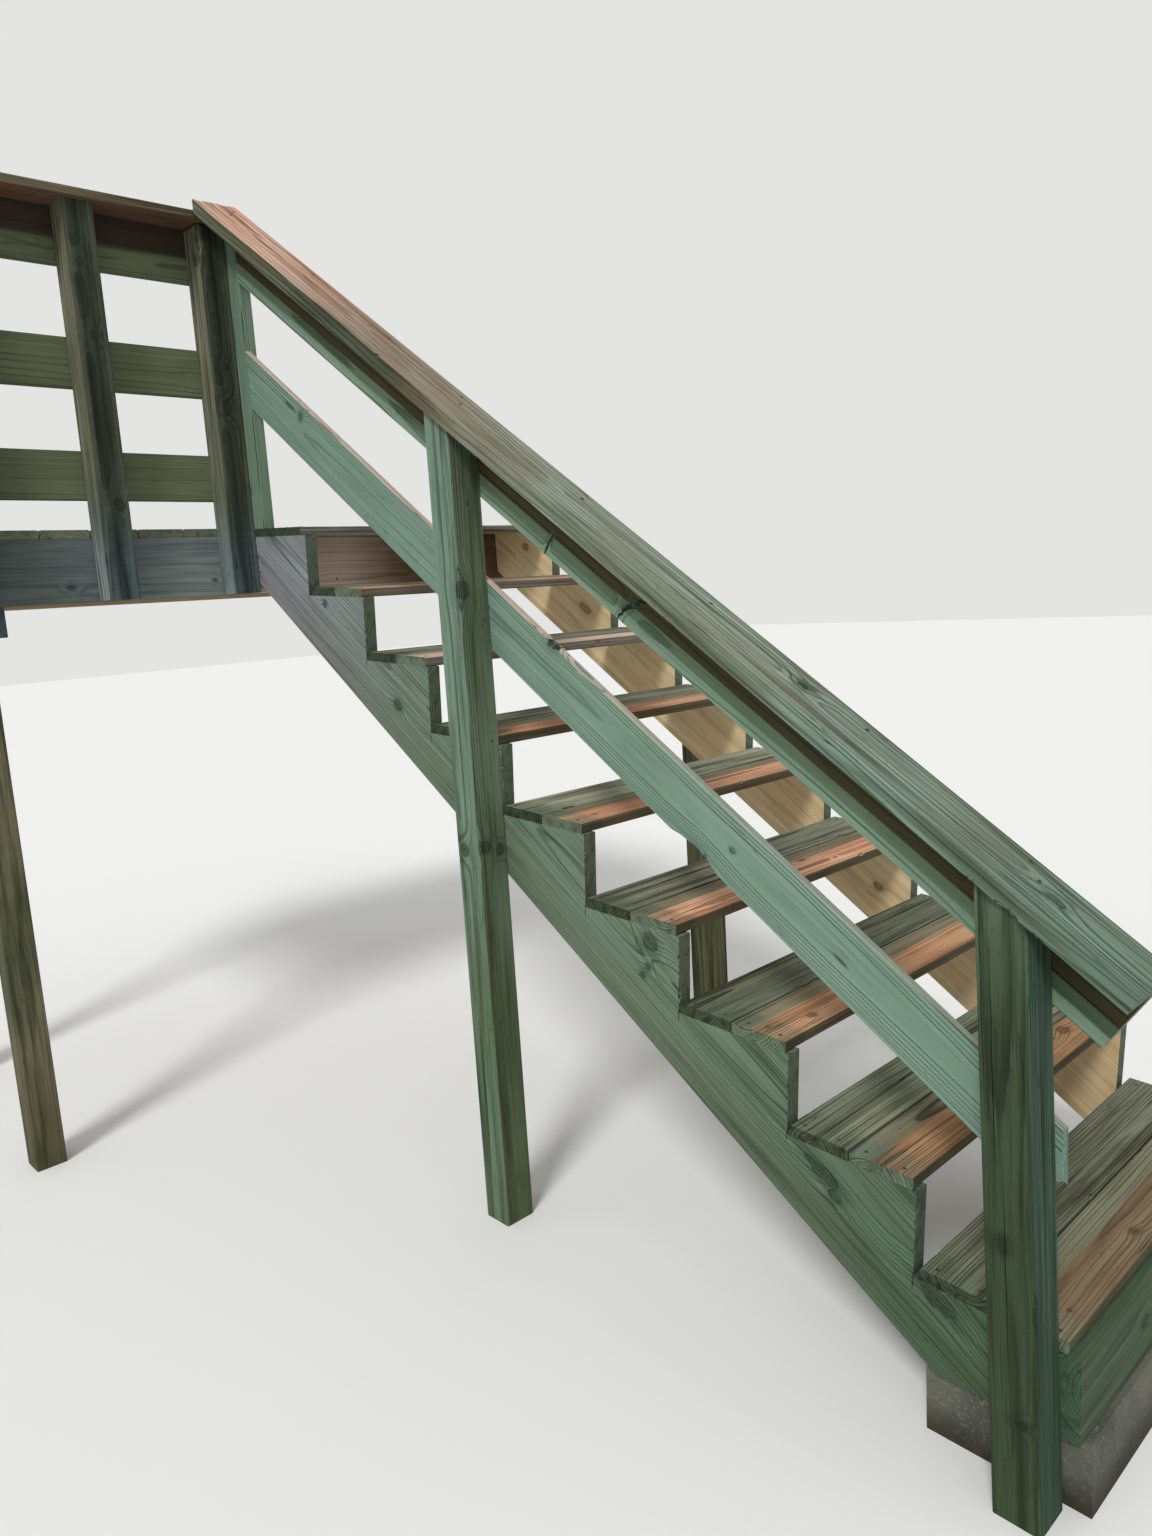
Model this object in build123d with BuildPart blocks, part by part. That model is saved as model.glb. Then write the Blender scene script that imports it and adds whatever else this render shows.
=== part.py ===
from build123d import *
from math import atan, cos, degrees, hypot, sin
import os

os.makedirs("parts", exist_ok=True)

# Lumber, in millimetres as it is sold planed.
ply = 38.0
four_inch = 89.0
six_inch = 140.0
eight_inch = 184.0
board_thickness = 25.4
board_width = 140.0
post_size = 89.0
lumber_round = 3.0
board_round = 5.0
post_round = 4.0

# Heights above the ground.
deck_frame_top = 1900.0
footing_top = 139.0

# The deck: its end face carries the stair head, its ledger stands against a wall.
deck_length = 1220.0
deck_outer_reach = 913.0
wall_reach = 1380.0
joist_spacing = 406.0
deck_board_gap = 3.5

# The flight. Its steps fall a little towards their front edges.
step_rise = 179.9
step_run = 295.6
step_fall = 0.0552
step_count = 8
first_riser = 395.7
stair_width = 1041.0
tread_overhang = 9.0
rear_gap = 4.0
tread_joint = 4.0
foot_tread_shift = 8.0
head_setback = 28.0
head_joint = 3.0
header_plies = 2
stringer_drop = 98.1
stringer_front = 2660.0
kick_clearance = 3.0

# The stair rail, all of it parallel to the flight.
cap_thickness = 38.0
cap_overhang = 15.0
cap_rise = 1012.0
cap_end_gap = 2.0
upper_rail_rise = 852.2
mid_rail_rise = 481.9
rail_foot = 2721.0
mid_rail_foot = 2663.0
cleat_start = 59.0

# Posts of the stair.
mid_post_at = 1154.7
bottom_post_at = 2581.3
bottom_post_lean = 0.029
inner_post_at = 940.0
inner_post_height = 1285.0

# The guard round the deck.
guard_bays = 2
guard_post_top = 925.0
guard_cap_overhang = 23.0
guard_rail_bottoms = (772.0, 431.0, 112.0)

# Beam below the joists.
beam_end = 60.0
beam_post_inset = 89.0
beam_setback = 16.0

# Concrete pad below the stringers' feet.
footing_back = 2400.0
footing_front = 2715.0
footing_inset = 12.0
footing_chamfer = 6.0

tread_length = stair_width + tread_overhang

# Slopes shared by the stringers, the rails and the cap.
flight_angle = atan(step_rise / step_run) + step_fall
slope = sin(flight_angle) / cos(flight_angle)
flight_axis = Axis((0, 0, 0), (cos(flight_angle), 0, -sin(flight_angle)))
cap_reach = rail_foot * cos(flight_angle) - (upper_rail_rise - slope * rail_foot) * sin(flight_angle)

# The whole is centred over its own outline and stands on the ground.
cap_foot = (cap_reach + (cap_rise + cap_thickness / cos(flight_angle)) * sin(flight_angle)) * cos(flight_angle)
guard_cap_outer = deck_outer_reach + post_size + guard_cap_overhang
head_x = (deck_length - cap_foot) / 2
face_y = (guard_cap_outer - wall_reach) / 2


def side(y):
    """Upright plane along the flight, facing away from the wall; x and z count from the deck's end and top."""
    return Plane(origin=(head_x, face_y + y, deck_frame_top), x_dir=(1, 0, 0), z_dir=(0, -1, 0))


def level(z):
    """Level plane; x and y count from the deck's end and the outer stringer."""
    return Plane(origin=(head_x, face_y, deck_frame_top + z))


def step_plane(y):
    """Upright plane turned with the steps, from the foot of the head board's front."""
    return Plane(
        origin=(head_x + first_riser, face_y + y, deck_frame_top),
        x_dir=(cos(step_fall), 0, -sin(step_fall)),
        z_dir=(0, -1, 0),
    )


def step_point(along, up):
    """A point of the turned step plane in the deck's own x and z."""
    x = first_riser + cos(step_fall) * along + sin(step_fall) * up
    return (x, cos(step_fall) * up - sin(step_fall) * along)


def sloped(rise, x):
    """Height at x of a line parallel to the flight."""
    return rise - slope * x


def square_end(rise):
    """Where a line parallel to the flight meets the square cut at the rail's lower end."""
    return (cap_reach + rise * sin(flight_angle)) * cos(flight_angle)


def box_at(x0, x1, y0, y1, z0, z1):
    """A straight board or post between two corners."""
    with BuildSketch(level(z0)) as outline:
        with Locations(((x0 + x1) / 2, (y0 + y1) / 2)):
            Rectangle(x1 - x0, y1 - y0)
    extrude(outline.sketch, amount=z1 - z0)


# Notched stringers, the part that takes the most layout.
header_face = header_plies * ply
seat = -board_thickness


def stringer_outline():
    head_along = (header_face - first_riser - sin(step_fall) * seat) / cos(step_fall)
    points = [(header_face, step_point(head_along, seat)[1])]
    for step in range(step_count):
        corner = step * step_run
        points.append(step_point(corner, seat - step * step_rise))
        points.append(step_point(corner, seat - (step + 1) * step_rise))
    last = points[-1]
    front_drop = (stringer_front - last[0]) * sin(step_fall) / cos(step_fall)
    points.append((stringer_front, last[1] - front_drop))
    ground_seat = footing_top - deck_frame_top
    points.append((stringer_front, ground_seat))
    points.append(((-stringer_drop - ground_seat) / slope, ground_seat))
    points.append((header_face, sloped(-stringer_drop, header_face)))
    return points


with BuildPart() as outer_stringer:
    with BuildSketch(side(ply)):
        with BuildLine():
            Polyline(*stringer_outline(), close=True)
        make_face()
    extrude(amount=ply)
    fillet(outer_stringer.edges().filter_by(flight_axis), lumber_round)
outer_stringer.part.label = "outer_stringer"
export_step(outer_stringer.part, "parts/outer_stringer.step")

with BuildPart() as inner_stringer:
    with BuildSketch(side(stair_width)):
        with BuildLine():
            Polyline(*stringer_outline(), close=True)
        make_face()
    extrude(amount=ply)
    fillet(inner_stringer.edges().filter_by(flight_axis), lumber_round)
inner_stringer.part.label = "inner_stringer"
export_step(inner_stringer.part, "parts/inner_stringer.step")

# Doubled header that the stringers' heads are nailed to.
with BuildPart() as stair_header:
    box_at(0, header_face, 0, stair_width, -eight_inch, stringer_outline()[0][1])
    fillet(stair_header.edges().filter_by(Axis.Y), lumber_round)
stair_header.part.label = "stair_header"
export_step(stair_header.part, "parts/stair_header.step")

# Head boards: two whole ones and a ripped one at the back.
head_front = -head_setback
with BuildPart() as top_tread:
    front = head_front
    for _ in range(2):
        with BuildSketch(step_plane(tread_length)):
            with Locations((front - board_width / 2, -board_thickness / 2)):
                RectangleRounded(board_width, board_thickness, board_round)
        extrude(amount=tread_length)
        front -= board_width + head_joint
    head_back = -first_riser / cos(step_fall) + 2 * head_joint
    with BuildSketch(step_plane(tread_length)):
        with Locations(((front + head_back) / 2, -board_thickness / 2)):
            RectangleRounded(front - head_back, board_thickness, board_round)
    extrude(amount=tread_length)
top_tread.part.label = "top_tread"
export_step(top_tread.part, "parts/top_tread.step")


def tread_board(step, place):
    """One board of a step: place 0 is the rear board, place 1 the front one."""
    start = (step - 1) * step_run + rear_gap + place * (board_width + tread_joint)
    if step == step_count:
        start += foot_tread_shift
    with BuildSketch(step_plane(tread_length)) as outline:
        with Locations((start + board_width / 2, -step * step_rise - board_thickness / 2)):
            RectangleRounded(board_width, board_thickness, board_round)
    extrude(outline.sketch, amount=tread_length)


for step in range(1, step_count + 1):
    for place, name in enumerate(("rear", "front")):
        with BuildPart() as tread:
            tread_board(step, place)
        tread.part.label = f"tread_{step}_{name}"
        export_step(tread.part, f"parts/tread_{step}_{name}.step")

# Kick board across the stringers' front cuts.
kick_top = step_point(step_count * step_run, seat - step_count * step_rise)[1] - kick_clearance
with BuildPart() as kick_board:
    box_at(stringer_front, stringer_front + ply, 0, stair_width, footing_top - deck_frame_top, kick_top)
    fillet(kick_board.edges().filter_by(Axis.Y), lumber_round)
kick_board.part.label = "kick_board"
export_step(kick_board.part, "parts/kick_board.step")

# Upright post half way down, cut to the slope under the cap.
with BuildPart() as mid_post:
    with BuildSketch(side(0)):
        with BuildLine():
            Polyline(
                (mid_post_at, -deck_frame_top),
                (mid_post_at + post_size, -deck_frame_top),
                (mid_post_at + post_size, sloped(cap_rise, mid_post_at + post_size)),
                (mid_post_at, sloped(cap_rise, mid_post_at)),
                close=True,
            )
        make_face()
    extrude(amount=post_size)
    fillet(mid_post.edges().filter_by(Axis.Z), post_round)
mid_post.part.label = "mid_post"
export_step(mid_post.part, "parts/mid_post.step")


def leaning_top(foot):
    """Top corner of a side of the leaning post, where it meets the cap."""
    height = (sloped(cap_rise, foot) + deck_frame_top) / (1 - slope * bottom_post_lean)
    return (foot - bottom_post_lean * height, height - deck_frame_top)


# Post at the foot, leaning back towards the deck.
post_axis = Axis((0, 0, 0), (-bottom_post_lean, 0, 1))
with BuildPart() as bottom_post:
    with BuildSketch(side(0)):
        with BuildLine():
            Polyline(
                (bottom_post_at, -deck_frame_top),
                (bottom_post_at + post_size, -deck_frame_top),
                leaning_top(bottom_post_at + post_size),
                leaning_top(bottom_post_at),
                close=True,
            )
        make_face()
    extrude(amount=post_size)
    fillet(bottom_post.edges().filter_by(post_axis), post_round)
bottom_post.part.label = "bottom_post"
export_step(bottom_post.part, "parts/bottom_post.step")

# Short post against the wall side of the inner stringer.
with BuildPart() as inner_post:
    inner_top = inner_post_height - deck_frame_top
    inner_end = inner_post_at + post_size
    box_at(inner_post_at, inner_end, stair_width, stair_width + post_size, -deck_frame_top, inner_top)
    fillet(inner_post.edges().filter_by(Axis.Z), post_round)
inner_post.part.label = "inner_post"
export_step(inner_post.part, "parts/inner_post.step")

# Upright cleat behind the head post, which the rails butt against.
guard_cap_edge = post_size + guard_cap_overhang
cleat_end = cleat_start + four_inch
cap_meet = (cap_rise - guard_post_top) / slope
with BuildPart() as rail_cleat:
    with BuildSketch(side(ply)):
        with BuildLine():
            Polyline(
                (cleat_start, (first_riser - cleat_start) * sin(step_fall) / cos(step_fall)),
                (cleat_end, (first_riser - cleat_end) * sin(step_fall) / cos(step_fall)),
                (cleat_end, sloped(cap_rise, cleat_end)),
                (cap_meet, guard_post_top),
                (cleat_start, guard_post_top),
                close=True,
            )
        make_face()
    extrude(amount=ply)
    fillet(rail_cleat.edges().filter_by(Axis.Z), lumber_round)
rail_cleat.part.label = "rail_cleat"
export_step(rail_cleat.part, "parts/rail_cleat.step")

# Upper rail on edge below the cap, cut square at its foot.
with BuildPart() as upper_rail:
    with BuildSketch(side(ply)):
        with BuildLine():
            Polyline(
                (cleat_end, sloped(upper_rail_rise, cleat_end)),
                (rail_foot, sloped(upper_rail_rise, rail_foot)),
                (square_end(cap_rise), sloped(cap_rise, square_end(cap_rise))),
                (cleat_end, sloped(cap_rise, cleat_end)),
                close=True,
            )
        make_face()
    extrude(amount=ply)
    fillet(upper_rail.edges().filter_by(flight_axis), lumber_round)
upper_rail.part.label = "upper_rail"
export_step(upper_rail.part, "parts/upper_rail.step")

# Middle rail, cut upright at both ends.
mid_rail_top = mid_rail_rise + six_inch / cos(flight_angle)
with BuildPart() as mid_rail:
    with BuildSketch(side(ply)):
        with BuildLine():
            Polyline(
                (cleat_end, sloped(mid_rail_rise, cleat_end)),
                (mid_rail_foot, sloped(mid_rail_rise, mid_rail_foot)),
                (mid_rail_foot, sloped(mid_rail_top, mid_rail_foot)),
                (cleat_end, sloped(mid_rail_top, cleat_end)),
                close=True,
            )
        make_face()
    extrude(amount=ply)
    fillet(mid_rail.edges().filter_by(flight_axis), lumber_round)
mid_rail.part.label = "mid_rail"
export_step(mid_rail.part, "parts/mid_rail.step")

# Flat cap over the posts and the upper rail.
cap_start = guard_cap_edge + cap_end_gap
cap_top = cap_rise + cap_thickness / cos(flight_angle)
with BuildPart() as stair_cap:
    with BuildSketch(side(six_inch - post_size - cap_overhang)):
        with BuildLine():
            Polyline(
                (cap_start, sloped(cap_rise, cap_start)),
                (square_end(cap_rise), sloped(cap_rise, square_end(cap_rise))),
                (square_end(cap_top), sloped(cap_top, square_end(cap_top))),
                (cap_start, sloped(cap_top, cap_start)),
                close=True,
            )
        make_face()
    extrude(amount=six_inch)
    fillet(stair_cap.edges().filter_by(flight_axis), lumber_round)
stair_cap.part.label = "stair_cap"
export_step(stair_cap.part, "parts/stair_cap.step")

# Deck frame: end joist, outer rim, ledger and the joists between them.
rim_inner = ply - deck_outer_reach
ledger_inner = wall_reach - ply
with BuildPart() as end_joist:
    box_at(-ply, 0, rim_inner, ledger_inner, -eight_inch, 0)
    fillet(end_joist.edges().filter_by(Axis.Y), lumber_round)
end_joist.part.label = "end_joist"
export_step(end_joist.part, "parts/end_joist.step")

with BuildPart() as outer_rim:
    box_at(-deck_length, 0, -deck_outer_reach, rim_inner, -eight_inch, 0)
    fillet(outer_rim.edges().filter_by(Axis.X), lumber_round)
outer_rim.part.label = "outer_rim"
export_step(outer_rim.part, "parts/outer_rim.step")

with BuildPart() as ledger:
    box_at(-deck_length, 0, ledger_inner, wall_reach, -eight_inch, 0)
    fillet(ledger.edges().filter_by(Axis.X), lumber_round)
ledger.part.label = "ledger"
export_step(ledger.part, "parts/ledger.step")

with BuildPart() as joists:
    for start in (-joist_spacing - ply, -2 * joist_spacing - ply, -deck_length):
        box_at(start, start + ply, rim_inner, ledger_inner, -eight_inch, 0)
    fillet(joists.edges().filter_by(Axis.Y), lumber_round)
joists.part.label = "joists"
export_step(joists.part, "parts/joists.step")

# Deck boards laid along the wall.
deck_boards = int((deck_outer_reach + wall_reach + deck_board_gap) // (board_width + deck_board_gap))
with BuildPart() as decking:
    first_board = board_width / 2 - deck_outer_reach
    centres = [(-deck_length / 2, first_board + i * (board_width + deck_board_gap)) for i in range(deck_boards)]
    with BuildSketch(level(0)):
        with Locations(*centres):
            Rectangle(deck_length, board_width)
    extrude(amount=board_thickness)
    fillet(decking.edges().filter_by(Axis.X), board_round)
decking.part.label = "decking"
export_step(decking.part, "parts/decking.step")

# Guard posts on the deck's end face, the nearest to the stair first and the last at the corner.
guard_spacing = (-rim_inner - post_size) / guard_bays
for number, letter in enumerate("abc"):
    with BuildPart() as guard_post:
        near = -number * guard_spacing
        box_at(0, post_size, near - post_size, near, -eight_inch, guard_post_top)
        fillet(guard_post.edges().filter_by(Axis.Z), post_round)
    guard_post.part.label = f"guard_post_{letter}"
    export_step(guard_post.part, f"parts/guard_post_{letter}.step")

# The same posts along the deck's outer side.
with BuildPart() as side_posts:
    outer = -deck_outer_reach - post_size
    for number in range(3):
        start = -post_size - number * guard_spacing
        box_at(start, start + post_size, outer, -deck_outer_reach, -eight_inch, guard_post_top)
    fillet(side_posts.edges().filter_by(Axis.Z), post_round)
side_posts.part.label = "side_posts"
export_step(side_posts.part, "parts/side_posts.step")

# Three rails behind the posts on each side of the corner.
with BuildPart() as end_rails:
    for bottom in guard_rail_bottoms:
        box_at(-ply, 0, rim_inner, 0, bottom, bottom + six_inch)
    fillet(end_rails.edges().filter_by(Axis.Y), lumber_round)
end_rails.part.label = "end_rails"
export_step(end_rails.part, "parts/end_rails.step")

with BuildPart() as side_rails:
    for bottom in guard_rail_bottoms:
        box_at(-deck_length, 0, -deck_outer_reach, rim_inner, bottom, bottom + six_inch)
    fillet(side_rails.edges().filter_by(Axis.X), lumber_round)
side_rails.part.label = "side_rails"
export_step(side_rails.part, "parts/side_rails.step")

# Flat caps on the guard posts, butted at the corner.
guard_cap_top = guard_post_top + board_thickness
side_cap_inner = board_width - guard_cap_outer
with BuildPart() as side_cap:
    box_at(-deck_length, guard_cap_edge, -guard_cap_outer, side_cap_inner, guard_post_top, guard_cap_top)
    fillet(side_cap.edges().filter_by(Axis.X), board_round)
side_cap.part.label = "side_cap"
export_step(side_cap.part, "parts/side_cap.step")

with BuildPart() as end_cap:
    cap_far = six_inch - post_size - cap_overhang
    cap_back = guard_cap_edge - board_width
    box_at(cap_back, guard_cap_edge, side_cap_inner, cap_far, guard_post_top, guard_cap_top)
    fillet(end_cap.edges().filter_by(Axis.Y), board_round)
end_cap.part.label = "end_cap"
export_step(end_cap.part, "parts/end_cap.step")

# Two boards on edge that clasp the beam posts and carry the joists.
beam_post_far = beam_setback + ply - deck_outer_reach
beam_post_near = beam_post_far + post_size
with BuildPart() as beam:
    for near in (beam_post_near, beam_post_far - ply):
        box_at(-deck_length, -beam_end, near, near + ply, -eight_inch - four_inch, -eight_inch)
    fillet(beam.edges().filter_by(Axis.X), lumber_round)
beam.part.label = "beam"
export_step(beam.part, "parts/beam.step")

with BuildPart() as beam_posts:
    for start in (-beam_post_inset - post_size, beam_post_inset - deck_length):
        box_at(start, start + post_size, beam_post_far, beam_post_near, -deck_frame_top, -eight_inch)
    fillet(beam_posts.edges().filter_by(Axis.Z), post_round)
beam_posts.part.label = "beam_posts"
export_step(beam_posts.part, "parts/beam_posts.step")

# Concrete pad under both stringers' feet.
pad_far = stair_width - footing_inset
with BuildPart() as footing:
    box_at(footing_back, footing_front, footing_inset, pad_far, -deck_frame_top, footing_top - deck_frame_top)
    chamfer(footing.edges().group_by(Axis.Z)[-1], footing_chamfer)
footing.part.label = "footing"
export_step(footing.part, "parts/footing.step")
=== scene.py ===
import random
from math import atan, cos, pi, radians, sin

import bmesh
import bpy
from mathutils import Euler, Matrix, Vector


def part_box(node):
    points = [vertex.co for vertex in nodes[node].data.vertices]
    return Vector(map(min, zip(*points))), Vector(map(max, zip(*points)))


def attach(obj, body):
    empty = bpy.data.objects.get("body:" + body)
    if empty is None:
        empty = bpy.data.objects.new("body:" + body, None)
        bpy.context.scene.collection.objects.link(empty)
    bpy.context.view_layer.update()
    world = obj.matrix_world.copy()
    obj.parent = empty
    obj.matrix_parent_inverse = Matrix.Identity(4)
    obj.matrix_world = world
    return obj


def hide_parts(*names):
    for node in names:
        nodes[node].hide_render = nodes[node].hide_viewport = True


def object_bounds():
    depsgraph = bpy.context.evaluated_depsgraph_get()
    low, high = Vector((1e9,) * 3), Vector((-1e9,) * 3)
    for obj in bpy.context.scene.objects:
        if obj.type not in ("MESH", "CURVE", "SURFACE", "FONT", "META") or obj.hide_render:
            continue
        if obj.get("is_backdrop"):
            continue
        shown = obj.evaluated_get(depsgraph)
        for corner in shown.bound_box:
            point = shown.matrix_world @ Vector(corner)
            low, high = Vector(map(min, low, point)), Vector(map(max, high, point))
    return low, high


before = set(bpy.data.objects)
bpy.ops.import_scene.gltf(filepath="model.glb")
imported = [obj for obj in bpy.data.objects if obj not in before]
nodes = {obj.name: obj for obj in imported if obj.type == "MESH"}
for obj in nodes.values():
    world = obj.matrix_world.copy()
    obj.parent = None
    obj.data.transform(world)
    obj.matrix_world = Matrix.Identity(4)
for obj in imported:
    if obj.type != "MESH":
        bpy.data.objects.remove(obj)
cad_box = [list(corner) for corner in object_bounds()]

# Outer stringer: a 2x12 of pressure-treated pine, notched with a saw for eight steps. It is nailed to the
# header at its head and stands on the concrete at its foot. The treatment has left it grey-green, its lower
# edge has stayed browner, and its knots show where the grain runs round them.
DECK_TOP = 1.9
RISE, RUN = 0.1799, 0.2956
TREAD_THICK = 0.0254
FIRST_RISER = -0.402848
FACE = -0.1775  # outer face of the stringer and of the rails behind the posts
FALL = 0.0552  # in radians: the whole flight has sunk at its foot
FLIGHT_PITCH = atan(179.9 / 295.6) + FALL
DOWN_FLIGHT = (0.0, FLIGHT_PITCH, 0.0)
FRONT, BACK, OUT, IN = (1, 0, 0), (-1, 0, 0), (0, -1, 0), (0, 1, 0)  # IN is towards the wall


def srgb(red, green, blue):
    """A colour as it is seen, 0 to 255, turned into the linear value that a shader takes."""
    shares = (red / 255, green / 255, blue / 255)
    return tuple(s / 12.92 if s < 0.0405 else ((s + 0.055) / 1.055) ** 2.4 for s in shares) + (1.0,)


def join(value, socket):
    if isinstance(value, bpy.types.NodeSocket):
        socket.id_data.links.new(value, socket)
    else:
        socket.default_value = value


def tree_of(*values):
    """The node tree that the first socket among values belongs to."""
    return next(value.id_data for value in values if isinstance(value, bpy.types.NodeSocket))


def add_node(tree, kind, values, **settings):
    made = tree.nodes.new(kind)
    for name, value in settings.items():
        setattr(made, name, value)
    for name, value in values.items():
        join(value, made.inputs[name])
    return made.outputs


def maths(operation, *values):
    made = tree_of(*values).nodes.new("ShaderNodeMath")
    made.operation = operation
    for value, socket in zip(values, made.inputs):
        join(value, socket)
    return made.outputs[0]


def times(product, *factors):
    for factor in factors:
        product = maths("MULTIPLY", product, factor)
    return product


def scaled(value, factor, start):
    """value times factor, plus start."""
    return maths("MULTIPLY_ADD", value, factor, start)


def vectors(operation, *values):
    made = tree_of(*values).nodes.new("ShaderNodeVectorMath")
    made.operation = operation
    for value, socket in zip(values, made.inputs):
        join(value, socket)
    return made.outputs["Value" if operation in ("LENGTH", "DOT_PRODUCT") else "Vector"]


def combine(x, y, z):
    return add_node(tree_of(x, y, z), "ShaderNodeCombineXYZ", {"X": x, "Y": y, "Z": z})["Vector"]


def ease(value, low, high):
    """0 at low and 1 at high, with soft ends."""
    reach = {"Value": value, "From Min": low, "From Max": high}
    return add_node(value.id_data, "ShaderNodeMapRange", reach, interpolation_type="SMOOTHSTEP")["Result"]


def blend(mode, amount, under, over):
    made = tree_of(amount, under, over).nodes.new("ShaderNodeMix")
    made.data_type = "RGBA"
    made.blend_type = mode
    for number, value in ((0, amount), (6, under), (7, over)):
        join(value, made.inputs[number])
    return made.outputs[2]


def noise(board, shift, stretch, detail):
    """Noise in a board's own measures, stretched along its grain, from -0.5 to 0.5."""
    vector = vectors("MULTIPLY_ADD", board, stretch, shift)
    values = {"Vector": vector, "Scale": 1.0, "Detail": detail}
    return maths("SUBTRACT", add_node(board.id_data, "ShaderNodeTexNoise", values)["Fac"], 0.5)


def bumped(height, distance, strength):
    values = {"Height": height, "Distance": distance, "Strength": strength}
    return add_node(height.id_data, "ShaderNodeBump", values)["Normal"]


def new_group(name, inputs, outputs):
    """A shader group with its sockets as {name: value}, each a vector where its value is one."""
    tree = bpy.data.node_groups.new(name, "ShaderNodeTree")
    for in_out, sockets in (("INPUT", inputs), ("OUTPUT", outputs)):
        for label, value in sockets.items():
            kind = "NodeSocketVector" if isinstance(value, tuple) else "NodeSocketFloat"
            tree.interface.new_socket(label, in_out=in_out, socket_type=kind).default_value = value
    return tree, tree.nodes.new("NodeGroupInput").outputs, tree.nodes.new("NodeGroupOutput").inputs


def use_group(tree, group, values):
    return add_node(tree, "ShaderNodeGroup", values, node_tree=group)


def new_material(name):
    """A material with its tree, its shader's sockets and the places on the piece."""
    material = bpy.data.materials.new(name)
    material.use_nodes = True
    tree = material.node_tree
    return material, tree, tree.nodes["Principled BSDF"].inputs, tree.nodes.new("ShaderNodeTexCoord").outputs


# Growth rings, cut through by the board: distance from a pith that wanders slowly along the log. Up to
# "Plain to" from the pith they are thin lines, and past it the dark latewood of each year is wider.
PLAIN_LATEWOOD = 0.86
rings, given, shown = new_group(
    "growth_rings",
    {
        "Board": (0, 0, 0), "Pith": (0, 0.05, 0), "Ring width": 0.005, "Late from": 0.4,
        "Plain to": 0.0, "Wander": 0.01, "Seed": 0.0, "Push": 0.0,
    },
    {"Latewood": 0.0, "Year": 0.0},
)
board, seed, plain_to = given["Board"], given["Seed"], given["Plain to"]
shift = combine(seed, times(seed, 1.7), 3.1)
shifts = (shift, vectors("ADD", shift, (11.0, 5.0, 7.0)))
drift = [noise(board, place, (0.9, 3.0, 3.0), 2.0) for place in shifts]
moved = vectors("MULTIPLY_ADD", combine(0.0, *drift), combine(*[given["Wander"]] * 3), board)
across = vectors("MULTIPLY", vectors("SUBTRACT", moved, given["Pith"]), (0.0, 1.0, 1.0))
radius = maths("ADD", vectors("LENGTH", across), given["Push"])
radius = scaled(noise(board, shift, (7.0, 60.0, 60.0), 2.0), 0.0018, radius)
spread = {"W": scaled(radius, 34.0, seed), "Scale": 1.0, "Detail": 1.0}
good_years = add_node(rings, "ShaderNodeTexNoise", spread, noise_dimensions="1D")["Fac"]
count = scaled(good_years, 3.2, maths("DIVIDE", radius, given["Ring width"]))
year = maths("FLOOR", count)
part_year = maths("SUBTRACT", count, year)
year_dice = add_node(rings, "ShaderNodeTexWhiteNoise", {"W": year}, noise_dimensions="1D")["Value"]
past_plain = ease(radius, maths("SUBTRACT", plain_to, 0.006), plain_to)
late_from = scaled(year_dice, 0.2, given["Late from"])
wider = times(past_plain, maths("SUBTRACT", late_from, PLAIN_LATEWOOD))
rise = ease(part_year, maths("ADD", wider, PLAIN_LATEWOOD), 0.93)
fall = ease(part_year, 1.0, 0.955)
depth = times(scaled(year_dice, 0.45, 0.55), scaled(past_plain, 0.4, 0.6))
join(times(rise, fall, depth), shown["Latewood"])
join(times(year_dice, past_plain), shown["Year"])

# A knot: the stub of a branch through the board, ringed, cracked and dark-barked in part of its rim. It
# pushes the growth rings round it and darkens the wood near it.
knot, given, shown = new_group(
    "knot",
    {"Board": (0, 0, 0), "Centre": (0, 0, 0), "Shape": (1, 1, 1), "Radius": 0.02, "Seed": 0.0},
    {"Heart": 0.0, "Rim": 0.0, "Halo": 0.0, "Push": 0.0},
)
board, shift = given["Board"], combine(given["Seed"], 2.0, 9.0)
away = vectors("MULTIPLY", vectors("SUBTRACT", board, given["Centre"]), given["Shape"])
uneven = noise(board, shift, (45.0, 60.0, 60.0), 3.0)
share = scaled(uneven, 0.6, maths("DIVIDE", vectors("LENGTH", away), given["Radius"]))
eye = times(maths("SINE", scaled(share, 23.0, times(uneven, 9.0))), 0.3)
inside = ease(share, 1.1, 0.8)
join(times(inside, maths("ADD", 0.7, eye)), shown["Heart"])
broken = ease(noise(board, shift, (30.0, 42.0, 42.0), 1.0), -0.14, 0.12)
band = times(ease(share, 0.8, 0.98), ease(share, 1.16, 1.0))
vein = maths("ABSOLUTE", noise(board, shift, (70.0, 90.0, 90.0), 0.0))
check = times(ease(vein, 0.03, 0.0), inside, 0.8)
join(maths("MAXIMUM", times(band, broken), check), shown["Rim"])
join(ease(share, 2.3, 0.9), shown["Halo"])
hill = maths("POWER", 2.718, times(share, share, -0.2))
join(times(hill, given["Radius"], 0.9), shown["Push"])

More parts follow.
